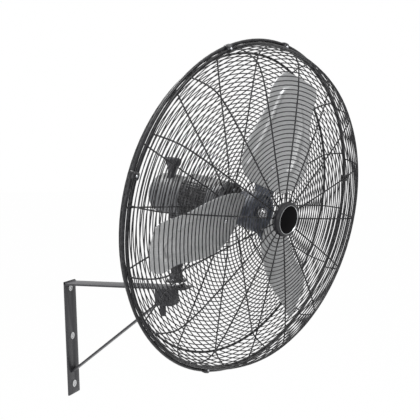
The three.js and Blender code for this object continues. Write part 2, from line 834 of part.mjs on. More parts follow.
const bellBore = motorRadius - motorWall;
const statorCore = () => washer(coreRadius, bellBore - seat, coreFrom, coreTo, 24);
const coil = (from, to) => washer(coreRadius + 2, bellBore - 5, from, to, 24);
const rotor = () => washer(shaftRadius + seat, coreRadius - seat, coreFrom, coreTo, 24);
const bearing = (from) => washer(shaftRadius + running, bearingRadius, from, from + bearingWide);

// ---------------------------------------------------------------- turning parts

const shaft = () => rod('z', shaftRadius, shaftRear, shaftFront, [0, 0]);

// Worm as a row of thread crests on a sleeve.
function worm() {
  const turns = 4;
  const pitch = (2 * wormHalf) / turns;
  const inner = shaftRadius + seat * 0.5;
  const crests = Array.from({ length: turns }, (_, i) => {
    const z = wormAt - wormHalf + i * pitch;
    return [[inner + 0.5, z], [wormRadius, z + pitch * 0.35], [wormRadius, z + pitch * 0.65]];
  }).flat();
  const end = [[inner + 0.5, wormAt + wormHalf], [inner, wormAt + wormHalf]];
  return turned([[inner, wormAt - wormHalf], ...crests, ...end], 14);
}

// Hub drum, open to the rear, on a sleeve round the shaft.
function hub() {
  const profile = [
    [shaftRadius + seat, hubRear],
    [hubSleeve, hubRear],
    [hubSleeve, hubFront - hubWall],
    [hubRadius - hubWall, hubFront - hubWall],
    [hubRadius - hubWall, hubRear],
    [hubRadius, hubRear],
    [hubRadius, hubFront],
    [shaftRadius + seat, hubFront],
  ];
  return turned(profile, 24);
}

const pitchAt = (r) => pitchRoot + ((pitchTip - pitchRoot) * (r - bladeRoot)) / (bladeTip - bladeRoot);

// Point on the middle surface of a blade that points straight up, moved off it by `off` along its normal.
// `r` runs out from the shaft, `q` runs clockwise across the blade.
function onBlade(r, q, off) {
  const pitch = pitchAt(r);
  const bow = -bladeCamber * (1 - (q / bladeHalfChord) ** 2);
  const slope = (2 * bladeCamber * q) / bladeHalfChord ** 2;
  const lean = pitch + Math.atan(slope);
  return new THREE.Vector3(
    q * Math.cos(pitch) - bow * Math.sin(pitch) - off * Math.sin(lean),
    r,
    bladeAt + q * Math.sin(pitch) + bow * Math.cos(pitch) + off * Math.cos(lean),
  );
}

// Closed sheet over a grid of (r, q) stations, between two distances from the blade's middle surface.
function sheet(stations, columns, under, over) {
  const rows = stations.length;
  const positions = [];
  for (const off of [under, over]) {
    for (const station of stations) {
      for (let j = 0; j <= columns; j += 1) {
        positions.push(...onBlade(...station(j / columns), off).toArray());
      }
    }
  }
  const at = (layer, i, j) => (layer * rows + i) * (columns + 1) + j;
  const index = [];
  const quad = (a, b, c, d) => index.push(a, b, c, a, c, d);
  for (let i = 0; i < rows - 1; i += 1) {
    for (let j = 0; j < columns; j += 1) {
      quad(at(0, i, j), at(0, i + 1, j), at(0, i + 1, j + 1), at(0, i, j + 1));
      quad(at(1, i, j), at(1, i, j + 1), at(1, i + 1, j + 1), at(1, i + 1, j));
    }
    quad(at(0, i, 0), at(1, i, 0), at(1, i + 1, 0), at(0, i + 1, 0));
    quad(at(0, i, columns), at(0, i + 1, columns), at(1, i + 1, columns), at(1, i, columns));
  }
  for (let j = 0; j < columns; j += 1) {
    quad(at(0, 0, j), at(0, 0, j + 1), at(1, 0, j + 1), at(1, 0, j));
    quad(at(0, rows - 1, j), at(1, rows - 1, j), at(1, rows - 1, j + 1), at(0, rows - 1, j + 1));
  }
  return facingOut(positions, index);
}

function blade() {
  const across = ([low, high], v) => low + (high - low) * v;
  const stations = bladeOutline.map(([r, ...edges]) => (v) => [r, across(edges, v)]);
  stations.push((v) => {
    const q = across(bladeTipEdges, v);
    return [Math.sqrt(bladeTip ** 2 - q ** 2), q];
  });
  const body = sheet(stations, 8, -bladeThick / 2, bladeThick / 2);
  return cut(body, ...boltRadii.map((r) => acrossBlade(r, boltShankRadius + seat, -10, 10)));
}

// Round bar square to the blade's middle, at one radius, between two distances from the middle surface.
function acrossBlade(r, radius, from, to, sides = 8) {
  const foot = onBlade(r, 0, 0);
  const toward = onBlade(r, 0, 1).sub(foot).normalize();
  const geometry = new THREE.CylinderGeometry(radius, radius, to - from, sides);
  geometry.translate(0, (from + to) / 2, 0);
  geometry.applyQuaternion(new THREE.Quaternion().setFromUnitVectors(new THREE.Vector3(0, 1, 0), toward));
  return solid(geometry.translate(foot.x, foot.y, foot.z));
}

const armOver = -bladeThick / 2 - seat;
const armUnderside = armOver - armThick;

// Spider: a disc and rim on the hub, with one pitched arm behind each blade.
function spider() {
  const from = hubFront + seat;
  const disc = washer(shaftRadius + seat, spiderRadius, from, from + spiderThick, 24);
  const rimFrom = from + spiderThick / 2 - spiderRimHalf;
  const rim = washer(spiderRadius - spiderRimWall, spiderRadius, rimFrom, rimFrom + 2 * spiderRimHalf, 24);
  const arms = bladeAngles.map((angle) => {
    const stations = [spiderRadius - 2, 70, 95, armTip].map((r) => (v) => [r, armHalfWidth * (2 * v - 1)]);
    const arm = sheet(stations, 4, armUnderside, armOver);
    const holes = boltRadii.map((r) => acrossBlade(r, boltShankRadius + seat, -12, 12));
    return turnedBy(cut(arm, ...holes), -angle);
  });
  return join(disc, rim, ...arms);
}

// Bolt through a blade and its arm: head in front, nut behind.
function bladeBolt(r) {
  const front = bladeThick / 2 + seat;
  const rear = armUnderside - seat;
  const shank = acrossBlade(r, boltShankRadius, rear - boltHeadThick, front + 1);
  const head = acrossBlade(r, boltHeadRadius, front, front + boltHeadThick, 10);
  const nut = acrossBlade(r, boltHeadRadius, rear - boltHeadThick, rear, 6);
  return join(shank, head, nut);
}

// Cap nut on the end of the shaft.
function hubNut() {
  const from = hubFront + 2 * seat + spiderThick;
  const to = from + hubNutLength;
  const profile = [
    [shaftRadius + seat, from],
    [hubNutRadius, from],
    [hubNutRadius, from + 12],
    [hubNutRadius - 5, to - 3],
    [hubNutRadius - 9, to],
    [0, to],
    [0, shaftFront + 1],
    [shaftRadius + seat, shaftFront + 1],
  ];
  return turned(profile, 16);
}

// ---------------------------------------------------------------- guards

// Side wall and dome of a guard as [radius, depth] from its rim, depth growing away from the rim.
function domeDepth(radius, shoulderRadius, shoulderDepth, domeRise) {
  const share = radius / shoulderRadius;
  return shoulderDepth + domeRise * (1 - share ** 1.8);
}

const frontDepth = (r) => domeDepth(r, frontShoulderRadius, frontShoulderDepth, frontDomeDepth);
const rearDepth = (r) => domeDepth(r, rearShoulderRadius, rearShoulderDepth, rearDomeDepth);

// Spokes of a guard, each bent from the rim over the shoulder to the centre.
function spokes(profile) {
  return Array.from({ length: spokeCount }, (_, i) => {
    const a = (2 * Math.PI * i) / spokeCount;
    const points = profile.map(([r, z]) => new THREE.Vector3(...onCircle(r, a), z));
    return wire(points, wireRadius, new THREE.Vector3(Math.cos(a), -Math.sin(a), 0));
  });
}

function frontGuard() {
  const z = (depth) => frontRimAt + depth;
  const rings = frontRingRadii.map((r) => hoop(r, wireRadius, z(frontDepth(r))));
  const centreFrom = z(frontDepth(frontCentreRadius)) - 3;
  const profile = [
    [rimRadius, z(0)],
    [(rimRadius + frontShoulderRadius) / 2 + 4, z(frontShoulderDepth * 0.55)],
    [frontShoulderRadius - 4, z(frontShoulderDepth)],
    ...[...frontRingRadii, frontCentreRadius].map((r) => [r, z(frontDepth(r))]),
  ];
  return join(
    hoop(rimRadius, rodRadius, z(0), 4, 48),
    hoop(frontShoulderRadius - 3, wireRadius, z(frontShoulderDepth)),
    washer(frontCentreRadius - 6, frontCentreRadius + 1, centreFrom, badgeRear - seat),
    ...rings,
    ...spokes(profile),
  );
}

function rearGuard() {
  const z = (depth) => rearRimAt - depth;
  const plateTo = motorFront + seat + guardPlateThick;
  const rings = rearRingRadii.map((r) => hoop(r, wireRadius, z(rearDepth(r))));
  const profile = [
    [rimRadius, z(0)],
    [(rimRadius + rearShoulderRadius) / 2 + 2, z(rearShoulderDepth / 2)],
    ...[rearShoulderRadius, ...rearRingRadii].map((r) => [r, z(rearDepth(r))]),
    [guardPlateRadius - 8, plateTo],
  ];
  const plate = washer(noseRadius + seat, guardPlateRadius, motorFront + seat, plateTo, 24);
  const screws = guardScrewAngles.map((a) => {
    return rod('z', guardScrewShank + seat, motorFront - 1, plateTo + 1, onCircle(guardScrewCircle, a), 12);
  });
  return join(
    hoop(rimRadius, rodRadius, z(0), 4, 48),
    hoop(rearShoulderRadius, wireRadius, z(rearDepth(rearShoulderRadius))),
    hoop((rimRadius + rearShoulderRadius) / 2 + 2, wireRadius, z(rearShoulderDepth / 2)),
    cut(plate, ...screws),
    ...rings,
    ...spokes(profile),
  );
}

// Clip over both rims, with a tongue between the rods.
function rimClip(angle) {
  const over = rimRadius + rodRadius + seat;
  const from = rearRimAt - rodRadius - 1;
  const to = frontRimAt + rodRadius + 1;
  const tongueFrom = rearRimAt + rodRadius + seat;
  const tongueTo = frontRimAt - rodRadius - seat;
  const half = clipWide / 2;
  const saddle = block(-half, half, over, over + clipThick, from, to);
  const tongue = block(-half, half, over - clipTongue, over + 1, tongueFrom, tongueTo);
  return turnedBy(join(saddle, tongue), -angle);
}

// Round cap over the inner ends of the front spokes.
function badge() {
  const from = badgeRear;
  const to = from + badgeThick;
  const profile = [
    [0, from],
    [badgeRadius - 1, from],
    [badgeRadius, from + 3],
    [badgeRadius - 2, to - 2],
    [badgeFaceRadius, to],
    [0, to],
  ];
  return turned(profile, 24);
}

function guardScrew(angle) {
  const plateTo = motorFront + 2 * seat + guardPlateThick;
  const at = onCircle(guardScrewCircle, angle);
  const shank = rod('z', guardScrewShank, motorFront - motorWall - 3, plateTo + 1, at, 12);
  return join(shank, rod('z', guardScrewHead, plateTo, plateTo + 3, at, 16));
}

// ---------------------------------------------------------------- assembly

const bladeAngles = Array.from({ length: bladeCount }, (_, i) => firstBlade + (2 * Math.PI * i) / bladeCount);

place(bracketFrame, 'wall_bracket', wallBracket(), blackPaint);
['bottom', 'middle', 'top'].forEach((name, i) => {
  place(bracketFrame, 'bushing_' + name, bushing(holeHeights[i]), zinc);
});
place(bracketFrame, 'brace', brace(), blackPaint);
place(bracketFrame, 'pole_base', poleBase(), blackPaint);
['left', 'right'].forEach((name, i) => {
  place(bracketFrame, 'base_bolt_' + name, baseBolt(baseBoltSides[i]), zinc);
});
place(bracketFrame, 'pole', pole(), blackPaint);
place(bracketFrame, 'lower_knuckle', lowerKnuckle(), blackPaint);
place(bracketFrame, 'tilt_bolt', tiltBolt(), zinc);
place(bracketFrame, 'tilt_knob', tiltKnob(), blackPlastic);
place(bracketFrame, 'control_box', controlBox(), blackPlastic);
place(bracketFrame, 'control_cover', controlCover(), blackPlastic);
place(bracketFrame, 'speed_switch', speedSwitch(), blackPlastic);
place(bracketFrame, 'run_capacitor', runCapacitor(), motorPaint);
place(bracketFrame, 'cable_gland', cableGland(), blackPlastic);
place(bracketFrame, 'speed_knob', speedKnob(), blackPlastic);

place(neckShaftFrame, 'neck', neck(), blackPaint);
place(neckShaftFrame, 'link_pin', linkPin(), steel);
place(neckShaftFrame, 'link_rod', linkRod(), steel);

place(headFrame, 'rear_cover', rearCover(), motorPaint);
place(headFrame, 'gear_case', gearCase(), steel);
place(headFrame, 'gear_plate', gearPlate(), steel);
place(headFrame, 'worm_wheel', wormWheel(), brass);
place(headFrame, 'crank_gear', crankGear(), steel);
place(headFrame, 'pull_knob', pullKnob(), blackPlastic);
place(headFrame, 'motor_rear_bell', motorRearBell(), motorPaint);
place(headFrame, 'motor_front_bell', motorFrontBell(), motorPaint);
place(headFrame, 'stator_core', statorCore(), steel);
place(headFrame, 'coil_rear', coil(coreFrom - seat - coilReach, coreFrom - seat), copper);
place(headFrame, 'coil_front', coil(coreTo + seat, coreTo + seat + coilReach), copper);
place(headFrame, 'bearing_rear', bearing(coverFront + 2 * seat + motorWall + 1), steel);
place(headFrame, 'bearing_front', bearing(motorFront - motorWall - 1 - seat - bearingWide), steel);
place(headFrame, 'rear_guard', rearGuard(), wirePaint);
guardScrewAngles.forEach((a, i) => place(headFrame, 'guard_screw_' + (i + 1), guardScrew(a), zinc));
place(headFrame, 'front_guard', frontGuard(), wirePaint);
clipAngles.forEach((a, i) => place(headFrame, 'rim_clip_' + (i + 1), rimClip(a), wirePaint));
place(headFrame, 'badge', badge(), badgeGloss);

place(headFrame, 'shaft', shaft(), steel);
place(headFrame, 'worm', worm(), steel);
place(headFrame, 'rotor', rotor(), steel);
place(headFrame, 'hub', hub(), hubPaint);
place(headFrame, 'spider', spider(), hubPaint);
place(headFrame, 'hub_nut', hubNut(), steel);
bladeAngles.forEach((angle, i) => {
  place(headFrame, 'blade_' + (i + 1), turnedBy(blade(), -angle), bladeMetal);
  boltRadii.forEach((r, k) => {
    const name = 'blade_bolt_' + (i + 1) + (k === 0 ? '_inner' : '_outer');
    place(headFrame, name, turnedBy(bladeBolt(r), -angle), zinc);
  });
});

export default fan;
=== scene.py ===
"""Looks of a wall mounted oscillating fan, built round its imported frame.

Metres, +Z up, the wall is the plane y = 0. Sizes of the pieces are written in millimetres, as in the
solids, and each piece is drawn in one of four frames: bracket, neck, shaft or head. In the shaft and
head frames +X points to the side, +Y up and +Z forward along the shaft.
"""

import json
import logging
import math
from collections.abc import Callable, Iterable, Sequence
from dataclasses import dataclass
from enum import Enum
from functools import cache

import bmesh
import bpy
from mathutils import Matrix, Vector

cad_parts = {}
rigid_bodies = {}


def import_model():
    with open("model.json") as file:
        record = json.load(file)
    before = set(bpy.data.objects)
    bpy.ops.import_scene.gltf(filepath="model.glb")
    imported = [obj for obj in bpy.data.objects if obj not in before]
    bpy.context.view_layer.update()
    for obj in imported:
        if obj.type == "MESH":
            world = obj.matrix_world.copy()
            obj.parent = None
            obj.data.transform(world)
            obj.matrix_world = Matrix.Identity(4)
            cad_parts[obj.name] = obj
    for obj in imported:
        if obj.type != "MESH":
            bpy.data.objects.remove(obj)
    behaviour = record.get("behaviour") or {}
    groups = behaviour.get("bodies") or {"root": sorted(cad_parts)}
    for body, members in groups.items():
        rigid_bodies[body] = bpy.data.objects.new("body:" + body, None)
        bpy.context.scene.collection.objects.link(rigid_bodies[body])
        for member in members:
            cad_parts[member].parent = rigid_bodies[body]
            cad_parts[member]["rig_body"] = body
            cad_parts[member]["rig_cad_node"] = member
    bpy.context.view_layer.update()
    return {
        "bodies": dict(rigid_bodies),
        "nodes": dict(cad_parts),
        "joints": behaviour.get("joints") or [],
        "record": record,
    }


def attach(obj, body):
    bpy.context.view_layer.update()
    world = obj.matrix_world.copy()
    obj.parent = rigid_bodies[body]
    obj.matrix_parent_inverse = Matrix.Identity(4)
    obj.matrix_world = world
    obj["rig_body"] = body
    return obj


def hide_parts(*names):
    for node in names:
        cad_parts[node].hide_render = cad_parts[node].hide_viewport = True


Piece = bpy.types.Object
Solids = dict[str, Piece]
Group = bpy.types.NodeTree
Socket = bpy.types.NodeSocket

LOG = logging.getLogger("wall_fan")
MM = 0.001

MOUNT_HEIGHT = 96.5
POLE_REACH = 330.0
TILT_HEIGHT = 420.0
NECK_LENGTH = 148.0
TILT_DOWN = math.radians(10.2)
SWING_LEFT = math.radians(21.2)

LEAST_RADIUS = 0.01
WELD_DISTANCE = 0.002
SOLID_WELD_DISTANCE = 0.00002
FLAT_ANGLE = math.radians(1.0)
SOLID_BEVEL_ANGLE = 40.0


class Frame(Enum):
    """The drawing frames of the pieces, each with its place at rest."""

    BRACKET = "bracket"
    NECK = "neck"
    SHAFT = "shaft"
    HEAD = "head"

    def matrix(self) -> Matrix:
        """Gives the frame's place in millimetres.

        Returns:
            The matrix from this frame to the row frame.
        """
        bracket = Matrix.Translation((0, 0, -MOUNT_HEIGHT))
        if self is Frame.BRACKET:
            return bracket
        neck = bracket @ Matrix.Translation((0, -POLE_REACH, TILT_HEIGHT)) @ Matrix.Rotation(TILT_DOWN, 4, "X")
        if self is Frame.NECK:
            return neck
        shaft = neck @ Matrix.Translation((0, 0, NECK_LENGTH)) @ Matrix.Rotation(math.pi / 2, 4, "X")
        if self is Frame.SHAFT:
            return shaft
        return shaft @ Matrix.Rotation(-SWING_LEFT, 4, "Y")


def on_circle(radius: float, angle: float) -> tuple[float, float]:
    """Finds a point on a circle about the shaft.

    Args:
        radius: Distance from the shaft.
        angle: Angle from straight up towards +X, in radians.

    Returns:
        The point's x and y in the head frame.
    """
    return radius * math.sin(angle), radius * math.cos(angle)


# ---------------------------------------------------------------- modelling


class Bench:
    """Hand tools: each one is a few mesh operators on the active object."""

    @staticmethod
    def clear() -> None:
        """Leaves edit mode and deselects everything."""
        if bpy.context.object is not None and bpy.context.object.mode != "OBJECT":
            bpy.ops.object.mode_set(mode="OBJECT")
        bpy.ops.object.select_all(action="DESELECT")

    @staticmethod
    def take(*pieces: Piece) -> Piece:
        """Selects pieces and makes the first one active.

        Args:
            pieces: Objects to select.

        Returns:
            The first piece.
        """
        Bench.clear()
        for piece in pieces:
            piece.select_set(True)
        bpy.context.view_layer.objects.active = pieces[0]
        return pieces[0]

    @staticmethod
    def edit_all() -> None:
        """Enters edit mode on the active object with all of its vertices selected."""
        bpy.ops.object.mode_set(mode="EDIT")
        bpy.ops.mesh.select_mode(type="VERT")
        bpy.ops.mesh.select_all(action="SELECT")

    @staticmethod
    def named(name: str) -> Piece:
        """Names the active object and its mesh.

        Args:
            name: Name of the piece.

        Returns:
            The active object.
        """
        piece = bpy.context.object
        piece.name = name
        piece.data.name = name
        return piece

    @staticmethod
    def pick(piece: Piece, keep: Callable[[Vector], bool], faces: bool = False) -> None:
        """Selects vertices by their place, or faces by the place of their middle, in edit mode.

        Args:
            piece: Object in edit mode.
            keep: Says whether a place is wanted.
            faces: Selects faces in place of vertices.
        """
        bpy.ops.mesh.select_mode(type="FACE" if faces else "VERT")
        bpy.ops.mesh.select_all(action="DESELECT")
        mesh = bmesh.from_edit_mesh(piece.data)
        for item in mesh.faces if faces else mesh.verts:
            if keep(item.calc_center_median() if faces else item.co):
                item.select = True
        mesh.select_flush_mode()
        bmesh.update_edit_mesh(piece.data)

    @staticmethod
    def apply(piece: Piece, kind: str, **values: object) -> None:
        """Adds a modifier with its values and applies it.

        Args:
            piece: Object to work on.
            kind: Modifier type.
            values: Settings of the modifier.
        """
        Bench.take(piece)
        modifier = piece.modifiers.new(kind.title(), kind)
        for key, value in values.items():
            setattr(modifier, key, value)
        bpy.ops.object.modifier_apply(modifier=modifier.name)

    @staticmethod
    def bevel(piece: Piece, width: float, segments: int = 2, angle: float = 35.0) -> None:
        """Rounds the edges that are sharper than an angle.

        Args:
            piece: Object to work on.
            width: Width of the rounding in millimetres.
            segments: Faces across the rounding.
            angle: Least angle of a rounded edge, in degrees.
        """
        Bench.apply(
            piece,
            "BEVEL",
            width=width,
            segments=segments,
            limit_method="ANGLE",
            angle_limit=math.radians(angle),
            use_clamp_overlap=True,
            miter_outer="MITER_ARC",
        )

    @staticmethod
    def smooth(piece: Piece, angle: float = 32.0) -> None:
        """Shades a piece smooth up to an angle.

        Args:
            piece: Object to work on.
            angle: Largest angle that shades smooth, in degrees.
        """
        Bench.take(piece)
        bpy.ops.object.shade_smooth_by_angle(angle=math.radians(angle))

    @staticmethod
    def tidy_normals(piece: Piece) -> None:
        """Merges doubles and turns all faces outward.

        Args:
            piece: Object to work on.
        """
        Bench.take(piece)
        Bench.edit_all()
        bpy.ops.mesh.remove_doubles(threshold=WELD_DISTANCE)
        bpy.ops.mesh.normals_make_consistent(inside=False)
        bpy.ops.object.mode_set(mode="OBJECT")

    @staticmethod
    def settle(piece: Piece, frame: Frame) -> Piece:
        """Moves a piece drawn in millimetres in a frame to its place, into its mesh.

        Args:
            piece: Object to place.
            frame: Frame that it is drawn in.

        Returns:
            The same object.
        """
        Bench.take(piece)
        piece.matrix_world = Matrix.Scale(MM, 4) @ frame.matrix() @ piece.matrix_world
        bpy.ops.object.transform_apply(location=True, rotation=True, scale=True)
        return piece

    @staticmethod
    def join(name: str, pieces: Sequence[Piece]) -> Piece:
        """Joins objects into one.

        Args:
            name: Name of the result.
            pieces: Objects to join.

        Returns:
            The joined object.
        """
        Bench.take(*pieces)
        if len(pieces) > 1:
            bpy.ops.object.join()
        return Bench.named(name)

    @staticmethod
    def turned(name: str, profile: Sequence[tuple[float, float]], sides: int = 48) -> Piece:
        """Turns a profile about Z: a circle is extruded and resized from point to point.

        Args:
            name: Name of the piece.
            profile: Radius and height of each point. A profile that comes back to its first point is a
                closed ring, any other one is closed by a flat face at each end.
            sides: Faces round the piece.

        Returns:
            The new object, about its own Z axis.
        """
        Bench.clear()
        closed = profile[0] == profile[-1]
        radius, height = profile[0]
        bpy.ops.mesh.primitive_circle_add(
            vertices=sides,
            radius=max(radius, LEAST_RADIUS),
            location=(0, 0, 0),
            fill_type="NOTHING" if closed else "NGON",
        )
        piece = Bench.named(name)
        Bench.edit_all()
        bpy.ops.transform.translate(value=(0, 0, height))
        last = max(radius, LEAST_RADIUS)
        for next_radius, next_height in profile[1:]:
            size = max(next_radius, LEAST_RADIUS)
            bpy.ops.mesh.extrude_region_move(TRANSFORM_OT_translate={"value": (0, 0, next_height - height)})
            bpy.ops.transform.resize(value=(size / last, size / last, 1), center_override=(0, 0, 0))
            last, height = size, next_height
        bpy.ops.object.mode_set(mode="OBJECT")
        Bench.tidy_normals(piece)
        return piece

    @staticmethod
    def ring(radius: float, wire: float, height: float, sides: int, segments: int) -> Piece:
        """Adds a round wire ring about Z.

        Args:
            radius: Radius of the ring.
            wire: Radius of the wire.
            height: Height of the ring.
            sides: Faces round the wire.
            segments: Faces round the ring.

        Returns:
            The new object.
        """
        Bench.clear()
        bpy.ops.mesh.primitive_torus_add(
            location=(0, 0, height),
            major_radius=radius,
            minor_radius=wire,
            major_segments=segments,
            minor_segments=sides,
        )
        return bpy.context.object

    @staticmethod
    def drawn(name: str, path: Sequence[tuple[float, float]], wire: float, sides: int = 6) -> Piece:
        """Draws a wire along a path in the Y-Z plane: a disc is extruded and turned at each bend.

        Args:
            name: Name of the piece.
            path: The y and z of each point.
            wire: Radius of the wire.
            sides: Faces round the wire.

        Returns:
            The new object.
        """
        Bench.clear()
        headings = [
            math.atan2(b[1] - a[1], b[0] - a[0]) for a, b in zip(path[:-1], path[1:], strict=True)
        ]
        first = Vector((0, path[0][0], path[0][1]))
        bpy.ops.mesh.primitive_circle_add(
            vertices=sides, radius=wire, fill_type="NGON", location=first, rotation=(headings[0] - math.pi / 2, 0, 0)
        )
        piece = Bench.named(name)
        bpy.ops.object.transform_apply(location=True, rotation=True, scale=True)
        Bench.edit_all()
        for i, point in enumerate(path[1:], start=1):
            step = (0, point[0] - path[i - 1][0], point[1] - path[i - 1][1])
            bpy.ops.mesh.extrude_region_move(TRANSFORM_OT_translate={"value": step})
            if i < len(headings):
                bend = (headings[i] - headings[i - 1]) / 2
                if i > 1:
                    bend += (headings[i - 1] - headings[i - 2]) / 2
                bpy.ops.transform.rotate(
                    value=-bend, orient_axis="X", center_override=(0, point[0], point[1])
                )
        bpy.ops.object.mode_set(mode="OBJECT")
        Bench.tidy_normals(piece)
        return piece

    @staticmethod
    def copies(piece: Piece, angles: Iterable[float]) -> list[Piece]:
        """Copies a piece round Z, each copy with its own mesh.

        Args:
            piece: Object that stands at angle 0.
            angles: Angles from +Y towards +X, in radians.

        Returns:
            The copies. The piece itself is removed.
        """
        out = []
        for angle in angles:
            Bench.take(piece)
            bpy.ops.object.duplicate(linked=False)
            twin = bpy.context.object
            twin.matrix_world = Matrix.Rotation(-angle, 4, "Z") @ piece.matrix_world
            bpy.ops.object.transform_apply(location=True, rotation=True, scale=True)
            out.append(twin)
        bpy.data.objects.remove(piece)
        return out

    @staticmethod
    def block(
        name: str, low: tuple[float, float, float], high: tuple[float, float, float], edge: float = 0.0
    ) -> Piece:
        """Adds a block between two corners, with its edges bevelled.

        Args:
            name: Name of the piece.
            low: Lowest corner.
            high: Highest corner.
            edge: Width of the bevel, or 0 for none.

        Returns:
            The new object.
        """
        Bench.clear()
        middle = [(a + b) / 2 for a, b in zip(low, high, strict=True)]
        bpy.ops.mesh.primitive_cube_add(size=1, location=middle)
        piece = Bench.named(name)
        piece.scale = [b - a for a, b in zip(low, high, strict=True)]
        bpy.ops.object.transform_apply(location=True, rotation=True, scale=True)
        if edge > 0:
            Bench.bevel(piece, edge)
        return piece

    @staticmethod
    def cut(piece: Piece, tool: Piece) -> None:
        """Cuts a tool's shape out of a piece and removes the tool.

        Args:
            piece: Object that is cut.
            tool: Object that cuts.
        """
        Bench.apply(piece, "BOOLEAN", object=tool, operation="DIFFERENCE", solver="EXACT")
        bpy.data.objects.remove(tool)


def dressed_copy(node: Piece, name: str, edge: float = 0.5) -> Piece:
    """Copies a solid of the frame, cleans its mesh and rounds its edges.

    Args:
        node: The frame's object.
        name: Name of the new piece.
        edge: Width of the rounding in millimetres.

    Returns:
        The new piece, in place.
    """
    Bench.take(node)
    bpy.ops.object.duplicate(linked=False)
    piece = Bench.named(name)
    world = piece.matrix_world.copy()
    piece.parent = None
    piece.matrix_world = world
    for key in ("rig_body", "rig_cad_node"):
        if key in piece:
            del piece[key]
    piece.data.materials.clear()
    bpy.ops.object.mode_set(mode="EDIT")
    bpy.ops.mesh.select_all(action="SELECT")
    bpy.ops.mesh.remove_doubles(threshold=SOLID_WELD_DISTANCE)
    bpy.ops.mesh.dissolve_limited(angle_limit=FLAT_ANGLE)
    bpy.ops.object.mode_set(mode="OBJECT")
    if edge > 0:
        Bench.bevel(piece, edge * MM, 2, SOLID_BEVEL_ANGLE)
    Bench.smooth(piece, 34)
    return piece


# ---------------------------------------------------------------- effects


